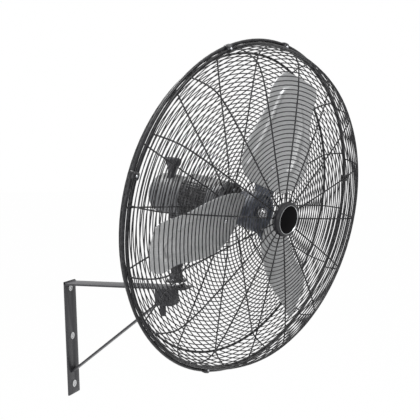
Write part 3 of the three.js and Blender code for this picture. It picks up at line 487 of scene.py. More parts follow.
class Effects:
    """Node groups that several finishes share, each built once."""

    @staticmethod
    def _start(
        name: str, inputs: Sequence[tuple[str, float]], outputs: Sequence[str]
    ) -> tuple[Group, bpy.types.Node, bpy.types.Node]:
        """Starts a node group with value sockets.

        Args:
            name: Name of the group.
            inputs: Name and default of each input.
            outputs: Name of each output.

        Returns:
            The group, its input node and its output node.
        """
        tree = bpy.data.node_groups.new(name, "ShaderNodeTree")
        tree.interface.new_socket(name="Vector", in_out="INPUT", socket_type="NodeSocketVector")
        for label, value in inputs:
            socket = tree.interface.new_socket(name=label, in_out="INPUT", socket_type="NodeSocketFloat")
            socket.default_value = value
        for label in outputs:
            tree.interface.new_socket(name=label, in_out="OUTPUT", socket_type="NodeSocketFloat")
        return tree, tree.nodes.new("NodeGroupInput"), tree.nodes.new("NodeGroupOutput")

    @staticmethod
    def _noise(
        tree: Group, vector: Socket, scale: Socket | float, detail: float
    ) -> Socket:
        """Adds a noise texture.

        Args:
            tree: Tree to add to.
            vector: Coordinates.
            scale: Scale, as a value or a socket.
            detail: Detail of the noise.

        Returns:
            The noise value's socket.
        """
        noise = tree.nodes.new("ShaderNodeTexNoise")
        noise.inputs["Detail"].default_value = detail
        tree.links.new(vector, noise.inputs["Vector"])
        if isinstance(scale, float):
            noise.inputs["Scale"].default_value = scale
        else:
            tree.links.new(scale, noise.inputs["Scale"])
        return noise.outputs["Fac"]

    @staticmethod
    def _ramp(
        tree: Group, value: Socket, low: float, high: float
    ) -> Socket:
        """Maps a value to 0..1 between two limits, smoothly.

        Args:
            tree: Tree to add to.
            value: Value to map.
            low: Value that gives 0.
            high: Value that gives 1.

        Returns:
            The mapped value's socket.
        """
        step = tree.nodes.new("ShaderNodeMapRange")
        step.interpolation_type = "SMOOTHSTEP"
        step.inputs["From Min"].default_value = low
        step.inputs["From Max"].default_value = high
        tree.links.new(value, step.inputs["Value"])
        return step.outputs["Result"]

    @staticmethod
    def _math(
        tree: Group, kind: str, a: Socket, b: Socket | float
    ) -> Socket:
        """Adds a math node.

        Args:
            tree: Tree to add to.
            kind: Operation.
            a: First operand.
            b: Second operand.

        Returns:
            The result's socket.
        """
        node = tree.nodes.new("ShaderNodeMath")
        node.operation = kind
        tree.links.new(a, node.inputs[0])
        if isinstance(b, float):
            node.inputs[1].default_value = b
        else:
            tree.links.new(b, node.inputs[1])
        return node.outputs[0]

    @classmethod
    @cache
    def orange_peel(cls) -> Group:
        """Gives the faint pebble of sprayed or moulded surfaces: Height and Cloud.

        Returns:
            The node group.
        """
        tree, start, end = cls._start("orange_peel", [("Scale", 900.0), ("Cloud Scale", 9.0)], ["Height", "Cloud"])
        fine = cls._noise(tree, start.outputs["Vector"], start.outputs["Scale"], 3.0)
        cloud = cls._noise(tree, start.outputs["Vector"], start.outputs["Cloud Scale"], 4.0)
        tree.links.new(fine, end.inputs["Height"])
        tree.links.new(cls._ramp(tree, cloud, 0.3, 0.7), end.inputs["Cloud"])
        return tree

    @classmethod
    @cache
    def edge_wear(cls) -> Group:
        """Gives rubbed spots along convex edges: Mask.

        Returns:
            The node group.
        """
        tree, start, end = cls._start("edge_wear", [("Spot Scale", 120.0), ("Amount", 0.5)], ["Mask"])
        shape = tree.nodes.new("ShaderNodeNewGeometry")
        edge = cls._ramp(tree, shape.outputs["Pointiness"], 0.52, 0.6)
        spots = cls._noise(tree, start.outputs["Vector"], start.outputs["Spot Scale"], 5.0)
        rubbed = cls._math(tree, "MULTIPLY", edge, cls._ramp(tree, spots, 0.46, 0.66))
        tree.links.new(cls._math(tree, "MULTIPLY", rubbed, start.outputs["Amount"]), end.inputs["Mask"])
        return tree

    @classmethod
    @cache
    def settled_dust(cls) -> Group:
        """Gives a thin uneven film on surfaces that face up: Mask.

        Returns:
            The node group.
        """
        tree, start, end = cls._start("settled_dust", [("Patch Scale", 40.0), ("Amount", 0.3)], ["Mask"])
        shape = tree.nodes.new("ShaderNodeNewGeometry")
        split = tree.nodes.new("ShaderNodeSeparateXYZ")
        tree.links.new(shape.outputs["Normal"], split.inputs[0])
        upward = cls._ramp(tree, split.outputs["Z"], 0.25, 0.98)
        patches = cls._noise(tree, start.outputs["Vector"], start.outputs["Patch Scale"], 6.0)
        film = cls._math(tree, "MULTIPLY", upward, cls._ramp(tree, patches, 0.2, 0.75))
        tree.links.new(cls._math(tree, "MULTIPLY", film, start.outputs["Amount"]), end.inputs["Mask"])
        return tree

    @classmethod
    @cache
    def rolled_grain(cls) -> Group:
        """Gives long fine scratches along the local X axis, and broad smudges: Height, Streak and Smudge.

        Returns:
            The node group.
        """
        tree, start, end = cls._start(
            "rolled_grain", [("Scale", 400.0), ("Stretch", 0.03)], ["Height", "Streak", "Smudge"]
        )
        join = tree.nodes.new("ShaderNodeCombineXYZ")
        join.inputs[1].default_value = 1.0
        join.inputs[2].default_value = 1.0
        tree.links.new(start.outputs["Stretch"], join.inputs[0])
        stretched = tree.nodes.new("ShaderNodeVectorMath")
        stretched.operation = "MULTIPLY"
        tree.links.new(start.outputs["Vector"], stretched.inputs[0])
        tree.links.new(join.outputs[0], stretched.inputs[1])
        grain = cls._noise(tree, stretched.outputs[0], start.outputs["Scale"], 4.0)
        smudge = cls._noise(tree, start.outputs["Vector"], 14.0, 5.0)
        tree.links.new(grain, end.inputs["Height"])
        tree.links.new(cls._ramp(tree, grain, 0.3, 0.7), end.inputs["Streak"])
        tree.links.new(cls._ramp(tree, smudge, 0.35, 0.75), end.inputs["Smudge"])
        return tree


# ---------------------------------------------------------------- finishes

Colour = tuple[float, float, float]

RUBBED_STEEL: Colour = (0.26, 0.26, 0.27)
DUST_ON_PAINT: Colour = (0.36, 0.35, 0.33)
DUST_ON_PLASTIC: Colour = (0.3, 0.29, 0.28)
DARK_TURN: Colour = (0.2, 0.06, 0.02)
BRIGHT_TURN: Colour = (0.72, 0.3, 0.14)
STREAK_SHARE = 0.88


class Sheet:
    """A material under construction: its tree, coordinates and surface shader."""

    def __init__(self, name: str, turn: Matrix | None = None) -> None:
        """Starts a material on Object coordinates.

        Args:
            name: Name of the material.
            turn: Frame that a directed pattern follows, or None.
        """
        self.material = bpy.data.materials.new(name)
        self.material.use_nodes = True
        self.tree = self.material.node_tree
        self.surface = self.tree.nodes["Principled BSDF"]
        coordinates = self.tree.nodes.new("ShaderNodeTexCoord").outputs["Object"]
        if turn is not None:
            mapping = self.tree.nodes.new("ShaderNodeMapping")
            mapping.inputs["Rotation"].default_value = turn.to_3x3().inverted().to_euler()
            self.tree.links.new(coordinates, mapping.inputs["Vector"])
            coordinates = mapping.outputs["Vector"]
        self.coordinates = coordinates

    def effect(self, group: Group, **values: float) -> bpy.types.Node:
        """Places a shared effect.

        Args:
            group: The effect's node group.
            values: Input values, with underscores for spaces.

        Returns:
            The group node.
        """
        node = self.tree.nodes.new("ShaderNodeGroup")
        node.node_tree = group
        self.tree.links.new(self.coordinates, node.inputs["Vector"])
        for key, value in values.items():
            node.inputs[key.replace("_", " ")].default_value = value
        return node

    def mixed(
        self, mask: Socket, a: Colour | Socket, b: Colour | Socket
    ) -> Socket:
        """Mixes two colours by a mask.

        Args:
            mask: Share of the second colour.
            a: First colour.
            b: Second colour.

        Returns:
            The mixed colour's socket.
        """
        node = self.tree.nodes.new("ShaderNodeMix")
        node.data_type = "RGBA"
        self.tree.links.new(mask, node.inputs["Factor"])
        colour_a, colour_b = node.inputs[6], node.inputs[7]
        for socket, value in ((colour_a, a), (colour_b, b)):
            if isinstance(value, tuple):
                socket.default_value = (*value, 1.0)
            else:
                self.tree.links.new(value, socket)
        return node.outputs[2]

    def spread(self, value: Socket, low: float, high: float) -> Socket:
        """Spreads a 0..1 value between two numbers.

        Args:
            value: Value between 0 and 1.
            low: Result at 0.
            high: Result at 1.

        Returns:
            The result's socket.
        """
        node = self.tree.nodes.new("ShaderNodeMapRange")
        node.inputs["To Min"].default_value = low
        node.inputs["To Max"].default_value = high
        self.tree.links.new(value, node.inputs["Value"])
        return node.outputs["Result"]

    def bump(self, height: Socket, distance: float, strength: float = 1.0) -> None:
        """Raises the surface by a height.

        Args:
            height: Height between 0 and 1.
            distance: Depth of the relief, in metres.
            strength: Strength of the bump.
        """
        node = self.tree.nodes.new("ShaderNodeBump")
        node.inputs["Distance"].default_value = distance
        node.inputs["Strength"].default_value = strength
        self.tree.links.new(height, node.inputs["Height"])
        self.tree.links.new(node.outputs["Normal"], self.surface.inputs["Normal"])

    def wire(self, socket: Socket, name: str) -> None:
        """Links a socket to an input of the surface shader.

        Args:
            socket: Source socket.
            name: Input of the shader.
        """
        self.tree.links.new(socket, self.surface.inputs[name])


@dataclass(frozen=True)
class Paint:
    """Sprayed or powder coated steel."""

    name: str
    colour: Colour
    shade: Colour
    roughness: tuple[float, float]
    peel_scale: float = 900.0
    peel_depth: float = 0.00012
    wear: float = 0.5
    dust: float = 0.25
    gloss: float = 0.25

    def build(self) -> bpy.types.Material:
        """Builds the material.

        Returns:
            The material.
        """
        sheet = Sheet(self.name)
        peel = sheet.effect(Effects.orange_peel(), Scale=self.peel_scale)
        worn = sheet.effect(Effects.edge_wear(), Amount=self.wear)
        dust = sheet.effect(Effects.settled_dust(), Amount=self.dust)
        body = sheet.mixed(peel.outputs["Cloud"], self.colour, self.shade)
        rubbed = sheet.mixed(worn.outputs["Mask"], body, RUBBED_STEEL)
        sheet.wire(sheet.mixed(dust.outputs["Mask"], rubbed, DUST_ON_PAINT), "Base Color")
        sheet.wire(sheet.spread(peel.outputs["Cloud"], *self.roughness), "Roughness")
        sheet.surface.inputs["Specular IOR Level"].default_value = self.gloss
        sheet.bump(peel.outputs["Height"], self.peel_depth, 0.6)
        return sheet.material


@dataclass(frozen=True)
class Metal:
    """Bare or plated metal with a directed grain."""

    name: str
    colour: Colour
    stain: Colour
    roughness: tuple[float, float]
    grain_scale: float = 500.0
    stretch: float = 0.05
    depth: float = 0.00004
    metallic: float = 1.0
    frame: Frame | None = None

    def build(self) -> bpy.types.Material:
        """Builds the material.

        Returns:
            The material.
        """
        turn = None if self.frame is None else self.frame.matrix()
        sheet = Sheet(self.name, turn)
        grain = sheet.effect(Effects.rolled_grain(), Scale=self.grain_scale, Stretch=self.stretch)
        streaked = sheet.mixed(grain.outputs["Streak"], self.colour, tuple(STREAK_SHARE * c for c in self.colour))
        sheet.wire(sheet.mixed(grain.outputs["Smudge"], streaked, self.stain), "Base Color")
        sheet.wire(sheet.spread(grain.outputs["Smudge"], *self.roughness), "Roughness")
        sheet.surface.inputs["Metallic"].default_value = self.metallic
        sheet.bump(grain.outputs["Height"], self.depth, 0.5)
        return sheet.material


@dataclass(frozen=True)
class Plastic:
    """Moulded plastic with a fine spark-eroded texture."""

    name: str
    colour: Colour
    shade: Colour
    roughness: tuple[float, float]
    texture_scale: float = 1600.0
    depth: float = 0.00008
    dust: float = 0.12
    gloss: float = 0.25

    def build(self) -> bpy.types.Material:
        """Builds the material.

        Returns:
            The material.
        """
        sheet = Sheet(self.name)
        peel = sheet.effect(Effects.orange_peel(), Scale=self.texture_scale, Cloud_Scale=22.0)
        dust = sheet.effect(Effects.settled_dust(), Amount=self.dust)
        body = sheet.mixed(peel.outputs["Cloud"], self.colour, self.shade)
        sheet.wire(sheet.mixed(dust.outputs["Mask"], body, DUST_ON_PLASTIC), "Base Color")
        sheet.wire(sheet.spread(peel.outputs["Cloud"], *self.roughness), "Roughness")
        sheet.surface.inputs["Specular IOR Level"].default_value = self.gloss
        sheet.bump(peel.outputs["Height"], self.depth, 0.5)
        return sheet.material


@dataclass(frozen=True)
class Winding:
    """Enamelled copper wire wound in a ring."""

    name: str = "wound_copper"

    def build(self) -> bpy.types.Material:
        """Builds the material.

        Returns:
            The material.
        """
        sheet = Sheet(self.name, Frame.HEAD.matrix())
        wave = sheet.tree.nodes.new("ShaderNodeTexWave")
        wave.wave_type = "RINGS"
        wave.rings_direction = "Z"
        wave.inputs["Scale"].default_value = 260.0
        wave.inputs["Distortion"].default_value = 2.0
        sheet.tree.links.new(sheet.coordinates, wave.inputs["Vector"])
        sheet.wire(sheet.mixed(wave.outputs["Fac"], DARK_TURN, BRIGHT_TURN), "Base Color")
        sheet.surface.inputs["Metallic"].default_value = 0.8
        sheet.surface.inputs["Roughness"].default_value = 0.35
        sheet.bump(wave.outputs["Fac"], 0.0004)
        return sheet.material


class Finish(Enum):
    """The finishes of the fan."""

    BRACKET_PAINT = Paint(
        "bracket_paint", (0.008, 0.008, 0.009), (0.014, 0.014, 0.016), (0.3, 0.44), dust=0.3, gloss=0.14
    )
    WIRE_COATING = Paint(
        "wire_coating", (0.006, 0.006, 0.007), (0.011, 0.011, 0.013), (0.3, 0.44), 1400.0, 0.00006, 0.2, 0.06
    )
    RIM_COATING = Paint(
        "rim_coating", (0.006, 0.006, 0.007), (0.012, 0.012, 0.014), (0.24, 0.38), 700.0, 0.00008, 0.3, 0.12
    )
    MOTOR_ENAMEL = Paint(
        "motor_enamel", (0.085, 0.088, 0.094), (0.115, 0.118, 0.124), (0.36, 0.52), 1100.0, 0.0001, 0.35, 0.35
    )
    HUB_ENAMEL = Paint(
        "hub_enamel", (0.06, 0.068, 0.088), (0.082, 0.09, 0.112), (0.34, 0.5), 1000.0, 0.0001, 0.4, 0.2
    )
    BLADE_SHEET = Metal(
        "blade_sheet", (0.5, 0.505, 0.51), (0.4, 0.405, 0.41), (0.34, 0.5), 420.0, 0.04, 0.00003, 0.9, Frame.HEAD
    )
    EYELET_ZINC = Metal(
        "eyelet_zinc", (0.58, 0.585, 0.59), (0.46, 0.465, 0.47), (0.42, 0.6), 900.0, 0.6, metallic=0.2
    )
    ZINC_PLATE = Metal("zinc_plate", (0.62, 0.63, 0.65), (0.5, 0.51, 0.52), (0.26, 0.42), 900.0, 0.6)
    MACHINED_STEEL = Metal(
        "machined_steel", (0.48, 0.48, 0.49), (0.38, 0.38, 0.385), (0.24, 0.38), 1300.0, 0.1, frame=Frame.HEAD
    )
    TURNED_BRASS = Metal("turned_brass", (0.62, 0.44, 0.17), (0.5, 0.34, 0.12), (0.22, 0.36), 1300.0, 0.1)
    COPPER = Winding()
    BLACK_PLASTIC = Plastic("black_plastic", (0.018, 0.018, 0.02), (0.03, 0.03, 0.033), (0.38, 0.52))
    BADGE_BLACK = Plastic(
        "badge_black", (0.002, 0.002, 0.0022), (0.003, 0.003, 0.0034), (0.08, 0.14), 600.0, 0.00001, 0.01, 0.02
    )
    BADGE_BEVEL = Plastic("badge_bevel", (0.012, 0.012, 0.014), (0.022, 0.022, 0.025), (0.26, 0.36), dust=0.06)
    BADGE_TRIM = Metal("badge_trim", (0.5, 0.51, 0.52), (0.4, 0.41, 0.42), (0.2, 0.3), 1500.0, 0.5)

    def material(self) -> bpy.types.Material:
        """Gives the finish's material, built at its first use.

        Returns:
            The material.
        """
        found = bpy.data.materials.get(self.value.name)
        return found if found is not None else self.value.build()


def coat(piece: Piece, finish: Finish) -> None:
    """Covers a whole piece with one finish.

    Args:
        piece: Object to dress.
        finish: The finish.
    """
    piece.data.materials.clear()
    piece.data.materials.append(finish.material())


def fit(piece: Piece, body: str, slot: str, *nodes: str) -> Piece:
    """Lets a piece ride on a body and stand for the solids that it replaces.

    Args:
        piece: Finished piece.
        body: Body that it rides on.
        slot: Material slot of the record; not used.
        nodes: Solids that it replaces.

    Returns:
        The same piece.
    """
    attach(piece, body)
    if nodes:
        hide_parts(*nodes)
    LOG.info("%s rides on %s", piece.name, body)
    return piece


def dress(
    piece: Piece, frame: Frame, finish: Finish, body: str, slot: str, *nodes: str
) -> Piece:
    """Places a drawn piece, covers it with a finish and fits it.

    Args:
        piece: Piece drawn in millimetres.
        frame: Frame that it is drawn in.
        finish: Its finish.
        body: Body that it rides on.
        slot: Material slot of the record.
        nodes: Solids that it replaces.

    Returns:
        The same piece.
    """
    coat(Bench.settle(piece, frame), finish)
    return fit(piece, body, slot, *nodes)


@dataclass(frozen=True)
class Softened:
    """A solid of the frame that keeps its shape and gets rounded edges and a finish."""

    node: str
    piece: str
    body: str
    slot: str
    finish: Finish
    edge: float = 0.6

    def build(self, frame_nodes: Solids) -> None:
        """Rounds and dresses the solid.

        Args:
            frame_nodes: The frame's solids by name.
        """
        piece = dressed_copy(frame_nodes[self.node], self.piece, self.edge)
        coat(piece, self.finish)
        fit(piece, self.body, self.slot, self.node)


# ---------------------------------------------------------------- guards


@dataclass
class Cage:
    """The two wire guards, their rim rods, clips and screws."""

    rear_rim: tuple[float, float] = (403.5, 229.0)
    front_rim: tuple[float, float] = (395.5, 233.2)
    rod_radius: float = 4.0
    wire_radius: float = 1.3
    spoke_radius: float = 1.8
    ring_pitch: float = 10.0
    spoke_count: int = 16
    spoke_inlay: float = 0.75
    wire_sides: int = 6
    wide_ring_from: float = 150.0
    wide_ring_segments: int = 96
    small_ring_segments: int = 64
    rim_segments: int = 128
    least_ring: tuple[float, float] = (47.0, 58.0)
    front_spokes_from: float = math.radians(2.0)
    shoulder_ring: tuple[float, float, float] = (371.0, 184.5, 2.4)
    collar_front: float = 338.0
    plate_radius: float = 50.0
    plate_bore: float = 24.3
    plate_from: float = 168.3
    plate_thick: float = 2.5
    front_section: tuple[tuple[float, float], ...] = (
        (397, 237), (394, 252), (388, 268), (381, 281), (374, 291), (366, 298), (354, 304), (335, 309), (300, 315),
        (250, 320), (200, 324), (150, 327), (100, 330), (58, 332), (38, 333),
    )
    rear_section: tuple[tuple[float, float], ...] = (
        (402, 226), (398, 217), (392, 206), (385, 196), (376, 188), (366, 183.5), (346, 182.5), (320, 181.5),
        (260, 180), (200, 179), (140, 178), (100, 176), (70, 171.4), (56, 170), (44, 172.6),
    )
    clip_angles: tuple[float, ...] = (-23.5, 5.5, 77.5, -168.5, -79.0)

    @staticmethod
    def stations(profile: Sequence[tuple[float, float]], pitch: float, skip: float) -> list[tuple[float, float]]:
        """Spaces points evenly along a section.

        Args:
            profile: The section.
            pitch: Distance between two points.
            skip: Distance to the first one.

        Returns:
            Radius and height of each point.
        """
        out = []
        ahead = skip
        for (r0, z0), (r1, z1) in zip(profile[:-1], profile[1:], strict=True):
            length = math.hypot(r1 - r0, z1 - z0)
            while ahead <= length:
                share = ahead / length
                out.append((r0 + (r1 - r0) * share, z0 + (z1 - z0) * share))
                ahead += pitch
            ahead -= length
        return out

    def mesh_of(self, name: str, profile: Sequence[tuple[float, float]], inward: float) -> Piece:
        """Makes the rings and spokes of one guard.

        Args:
            name: Name of the piece.
            profile: Section of the guard.
            inward: Side of the rings on which the spokes lie, -1 or 1 along the shaft.

        Returns:
            The guard's wires as one object, drawn in the head frame.
        """
        rings = [
            Bench.ring(
                r,
                self.wire_radius,
                z,
                self.wire_sides,
                self.wide_ring_segments if r > self.wide_ring_from else self.small_ring_segments,
            )
            for r, z in self.stations(profile, self.ring_pitch, self.ring_pitch)
            if r > self.least_ring[0 if inward < 0 else 1]
        ]
        lift = inward * (self.wire_radius + self.spoke_radius) * self.spoke_inlay
        path = [(r, z + (lift if 0 < i < len(profile) - 1 else 0)) for i, (r, z) in enumerate(profile)]
        spoke = Bench.drawn(name + "_spoke", path, self.spoke_radius)
        start = self.front_spokes_from if inward < 0 else 0.0
        step = 2 * math.pi / self.spoke_count
        spokes = Bench.copies(spoke, [start + step * k for k in range(self.spoke_count)])
        guard = Bench.join(name, rings + spokes)
        Bench.smooth(guard, 70)
        return guard

    def build(self) -> None:
        """Builds and fits both guards with what holds them."""
        front = self.mesh_of("front_wires", self.front_section, -1)
        radius, height = self.front_rim
        front_rod = Bench.join("front_rim_rod", [Bench.ring(radius, self.rod_radius, height, 12, self.rim_segments)])
        top = self.collar_front
        collar = Bench.turned("front_centre_ring", [(31, top - 7), (38, top - 7), (38, top), (31, top), (31, top - 7)])
        Bench.smooth(front_rod)
        Bench.smooth(collar)
        for piece, finish in (
            (front, Finish.WIRE_COATING), (front_rod, Finish.RIM_COATING), (collar, Finish.RIM_COATING)
        ):
            dress(piece, Frame.HEAD, finish, "head", "guard_paint", "front_guard")

        radius, height, wire = self.shoulder_ring
        shoulder = Bench.ring(radius, wire, height, 8, self.rim_segments)
        rear = Bench.join("rear_wires", [self.mesh_of("rear_wires", self.rear_section, 1), shoulder])
        radius, height = self.rear_rim
        rear_rod = Bench.join("rear_rim_rod", [Bench.ring(radius, self.rod_radius, height, 12, self.rim_segments)])
        Bench.smooth(rear_rod)
        low, high = self.plate_from, self.plate_from + self.plate_thick
        plate = Bench.turned(
            "rear_centre_plate",
            [
                (self.plate_bore, low), (self.plate_radius - 4, low), (self.plate_radius, low + 2.5),
                (self.plate_radius - 1.2, low + 3.8), (self.plate_radius - 6, high), (self.plate_bore, high),
                (self.plate_bore, low),
            ],
            64,
        )
        Bench.smooth(plate, 40)
        for piece, finish in (
            (rear, Finish.WIRE_COATING), (rear_rod, Finish.RIM_COATING), (plate, Finish.RIM_COATING)
        ):
            dress(piece, Frame.HEAD, finish, "head", "guard_paint", "rear_guard")

        for i, angle in enumerate(self.clip_angles, start=1):
            clip, screw = self.clip(i, math.radians(angle))
            dress(clip, Frame.HEAD, Finish.RIM_COATING, "head", "guard_paint", f"rim_clip_{i}")
            dress(screw, Frame.HEAD, Finish.ZINC_PLATE, "head", "zinc", f"rim_clip_{i}")

    def clip(self, number: int, angle: float) -> tuple[Piece, Piece]:
        """Makes one clamp over both rim rods, with its screw.

        Args:
            number: Number of the clip.
            angle: Angle round the rim, from straight up towards +X.

        Returns:
            The clamp and the screw, drawn in the head frame.
        """
        (outer, rear), (inner, front) = self.rear_rim, self.front_rim
        reach = self.rod_radius + 1.8
        clamp = Bench.block(
            f"clip_{number}", (-9, inner - reach, rear - reach + 1), (9, outer + reach - 0.6, front + reach)
        )
        bpy.ops.object.mode_set(mode="EDIT")
        Bench.pick(clamp, lambda p: p.z > front, faces=True)
        bpy.ops.mesh.inset(thickness=3.0, depth=1.2)
        bpy.ops.object.mode_set(mode="OBJECT")
        Bench.bevel(clamp, 3.4, 3, 30)
        top = front + reach + 1.2
        screw = Bench.turned(
            f"clip_screw_{number}",
            [(2.9, top - 1.5), (2.9, top + 0.6), (2.2, top + 1.5), (1.4, top + 1.8), (1.1, top + 0.9), (0, top + 0.9)],
            20,
        )
        screw.matrix_world = Matrix.Translation((0, (outer + inner) / 2, 0))
        pieces = []
        for piece in (clamp, screw):
            Bench.smooth(piece, 35)
            name = piece.name
            (turned,) = Bench.copies(piece, [angle])
            Bench.take(turned)
            pieces.append(Bench.named(name))
        return pieces[0], pieces[1]


@dataclass
class Badge:
    """Round cap in the middle of the front guard."""

    rear: float = 338.4
    thick: float = 13.0
    radius: float = 41.7
    face_radius: float = 35.4
    trim_width: float = 2.2

    def build(self) -> None:
        """Builds the bevelled body, the bright trim ring and the domed face."""
        low, high = self.rear, self.rear + self.thick
        inner = self.face_radius - self.trim_width
        body = Bench.turned(
            "badge_body",
            [
                (self.radius - 1.4, low), (self.radius, low + 1.6), (self.radius, low + 3.2),
                (self.radius - 1.1, high - 4.2), (self.radius - 2.6, high - 1.6),
                (self.face_radius + 1.2, high - 0.3), (self.face_radius, high - 0.6),
                (self.face_radius - 0.6, high - 2.6), (inner, high - 2.6),
            ],
            64,
        )
        trim = Bench.turned(
            "badge_trim",
            [
                (inner - 0.6, high - 2.4), (self.face_radius - 0.7, high - 2.4), (self.face_radius - 0.9, high - 0.9),
                (self.face_radius - 1.6, high - 0.5), (inner, high - 1.3), (inner - 0.6, high - 2.4),
            ],
            64,
        )
        face = Bench.turned(
            "badge_face",
            [
                (inner - 0.7, high - 2.5), (inner - 0.7, high - 1.6), (inner - 4, high - 1.2), (18, high - 0.7),
                (6, high - 0.5),
            ],
            64,
        )
        for piece, finish in (
            (body, Finish.BADGE_BEVEL), (trim, Finish.BADGE_TRIM), (face, Finish.BADGE_BLACK)
        ):
            Bench.smooth(piece, 30)
            dress(piece, Frame.HEAD, finish, "head", "badge_gloss", "badge")


# ---------------------------------------------------------------- rotor


@dataclass
class Blades:
    """Three pressed sheet blades on their spider."""

    count: int = 3
    first: float = math.radians(18.0)
    station: float = 259.0
    root: float = 62.0
    tip: float = 345.0
    half_chord: float = 92.0
    thick: float = 2.0
    camber: float = 9.0
    pitch_root: float = math.radians(26.0)
    pitch_tip: float = math.radians(15.0)
    rows: int = 88
    columns: int = 60
    rib_width: float = 5.4
    rib_height: float = 4.4
    outline: tuple[tuple[float, float, float], ...] = (
        (62, -46, 40), (80, -75, 65), (108, -90, 81), (148, -92, 86), (198, -86, 78), (250, -78, 61), (296, -84, 55),
        (318, -80, 54), (331, -73, 52), (339, -66, 48), (345, -57, 42),
    )
    rib_line: tuple[tuple[float, float], ...] = (
        (96, -71), (122, -63), (159, -57), (200, -54), (230, -52), (262, -51), (284, -50), (297, -44), (306, -34),
        (309, -22), (306, -9), (298, 3), (284, 13), (264, 26), (244, 36), (226, 42), (197, 46), (151, 51), (118, 47),
    )

    def surface(self, r: float, q: float, off: float) -> Vector:
        """Finds a point on the middle surface of a blade that points straight up.

        Args:
            r: Distance out from the shaft.
            q: Place across the blade, clockwise.
            off: Distance off the surface, forward.

        Returns:
            The point in the head frame.
        """
        share = (r - self.root) / (self.tip - self.root)
        pitch = self.pitch_root + (self.pitch_tip - self.pitch_root) * share
        bow = -self.camber * (1 - (q / self.half_chord) ** 2)
        slope = 2 * self.camber * q / self.half_chord**2
        lean = pitch + math.atan(slope)
        return Vector(
            (
                q * math.cos(pitch) - bow * math.sin(pitch) - off * math.sin(lean),
                r,
                self.station + q * math.sin(pitch) + bow * math.cos(pitch) + off * math.cos(lean),
            )
        )

    def edges(self, share: float) -> tuple[float, float]:
        """Finds both edges of the blade at a share of its length, on a smooth line through the outline.

        Args:
            share: 0 at the root, 1 at the tip.

        Returns:
            The anticlockwise and the clockwise edge.
        """
        r = self.root + (self.tip - self.root) * share
        rows = self.outline
        i = max(k for k in range(len(rows) - 1) if rows[k][0] <= r)
        ends = (rows[max(i - 1, 0)], rows[i], rows[i + 1], rows[min(i + 2, len(rows) - 1)])
        length = ends[2][0] - ends[1][0]
        t = (r - ends[1][0]) / length
        out = []
        for side in (1, 2):
            before = (ends[2][side] - ends[0][side]) / (ends[2][0] - ends[0][0]) * length
            after = (ends[3][side] - ends[1][side]) / (ends[3][0] - ends[1][0]) * length
            out.append(
                ends[1][side] * (2 * t**3 - 3 * t**2 + 1)
                + before * (t**3 - 2 * t**2 + t)
                + ends[2][side] * (3 * t**2 - 2 * t**3)
                + after * (t**3 - t**2)
            )
        return out[0], out[1]

    def rib(self, r: float, q: float) -> float:
        """Gives the height of the pressed rib, a hairpin open towards the root.

        Args:
            r: Distance out from the shaft.
            q: Place across the blade.

        Returns:
            The rib's height over the sheet.
        """
        near = 1e9
        for (r0, q0), (r1, q1) in zip(self.rib_line[:-1], self.rib_line[1:], strict=True):
            along = ((r - r0) * (r1 - r0) + (q - q0) * (q1 - q0)) / ((r1 - r0) ** 2 + (q1 - q0) ** 2)
            along = min(max(along, 0.0), 1.0)
            near = min(near, math.hypot(r - r0 - along * (r1 - r0), q - q0 - along * (q1 - q0)))
        return self.rib_height * math.exp(-((near / self.rib_width) ** 2))

    def blade(self, name: str) -> Piece:
        """Presses one blade: a grid laid on the blade's surface, given its thickness and rolled edges.

        Args:
            name: Name of the piece.

        Returns:
            The blade, pointing straight up in the head frame.
        """
        Bench.clear()
        bpy.ops.mesh.primitive_grid_add(x_subdivisions=self.columns, y_subdivisions=self.rows, size=2)
        piece = Bench.named(name)
        for vertex in piece.data.vertices:
            v, share = vertex.co.x, (vertex.co.y + 1) / 2
            low, high = self.edges(share)
            q = low + (high - low) * (v + 1) / 2
            r = self.root + (math.sqrt(self.tip**2 - (q * share) ** 2) - self.root) * share
            hem = 1.6 * max(0.0, (abs(v) - 0.93) / 0.07) ** 2
            vertex.co = self.surface(r, q, self.rib(r, q) - hem)
        Bench.apply(piece, "SOLIDIFY", thickness=self.thick, offset=0.0)
        Bench.bevel(piece, 0.7, 2, 60)
        Bench.smooth(piece, 40)
        return piece

    def build(self, frame_nodes: Solids) -> None:
        """Builds and fits the blades, the spider, its bolts and the nut.

        Args:
            frame_nodes: The frame's solids by name.
        """
        step = 2 * math.pi / self.count
        twins = Bench.copies(self.blade("pressed_blade"), [self.first + step * k for k in range(self.count)])
        for i, blade in enumerate(twins, start=1):
            Bench.take(blade)
            Bench.named(f"pressed_blade_{i}")
            dress(blade, Frame.HEAD, Finish.BLADE_SHEET, "spinner", "blade_aluminium", f"blade_{i}")
            for place in ("inner", "outer"):
                bolt = Softened(
                    f"blade_bolt_{i}_{place}", f"bolt_{i}_{place}", "spinner", "zinc", Finish.ZINC_PLATE, 0.5
                )
                bolt.build(frame_nodes)
        Softened("spider", "spider_arms", "spinner", "hub_paint", Finish.HUB_ENAMEL).build(frame_nodes)
        Softened("hub_nut", "cap_nut", "spinner", "steel", Finish.MACHINED_STEEL, 0.8).build(frame_nodes)


@dataclass
class Hub:
    """Drum behind the spider."""

    radius: float = 43.4
    rear: float = 208.0
    front: float = 252.0
    wall: float = 6.0
    sleeve: float = 15.0
    bore: float = 6.3

    def build(self) -> None:
        """Builds and fits the drum with a rolled bead at each rim."""
        low, high, wall = self.rear, self.front, self.wall
        inner = self.radius - wall
        drum = Bench.turned(
            "hub_drum",
            [
                (self.bore, low), (self.sleeve, low), (self.sleeve, high - wall), (inner, high - wall), (inner, low),
                (self.radius - 1.5, low), (self.radius, low + 1.5), (self.radius, low + 6),
                (self.radius - 1.8, low + 8), (self.radius - 1.8, high - 9), (self.radius, high - 7),
                (self.radius, high - 3), (self.radius - 3, high), (self.bore, high), (self.bore, low),
            ],
            64,
        )
        Bench.smooth(drum, 40)
        dress(drum, Frame.HEAD, Finish.HUB_ENAMEL, "spinner", "hub_paint", "hub")


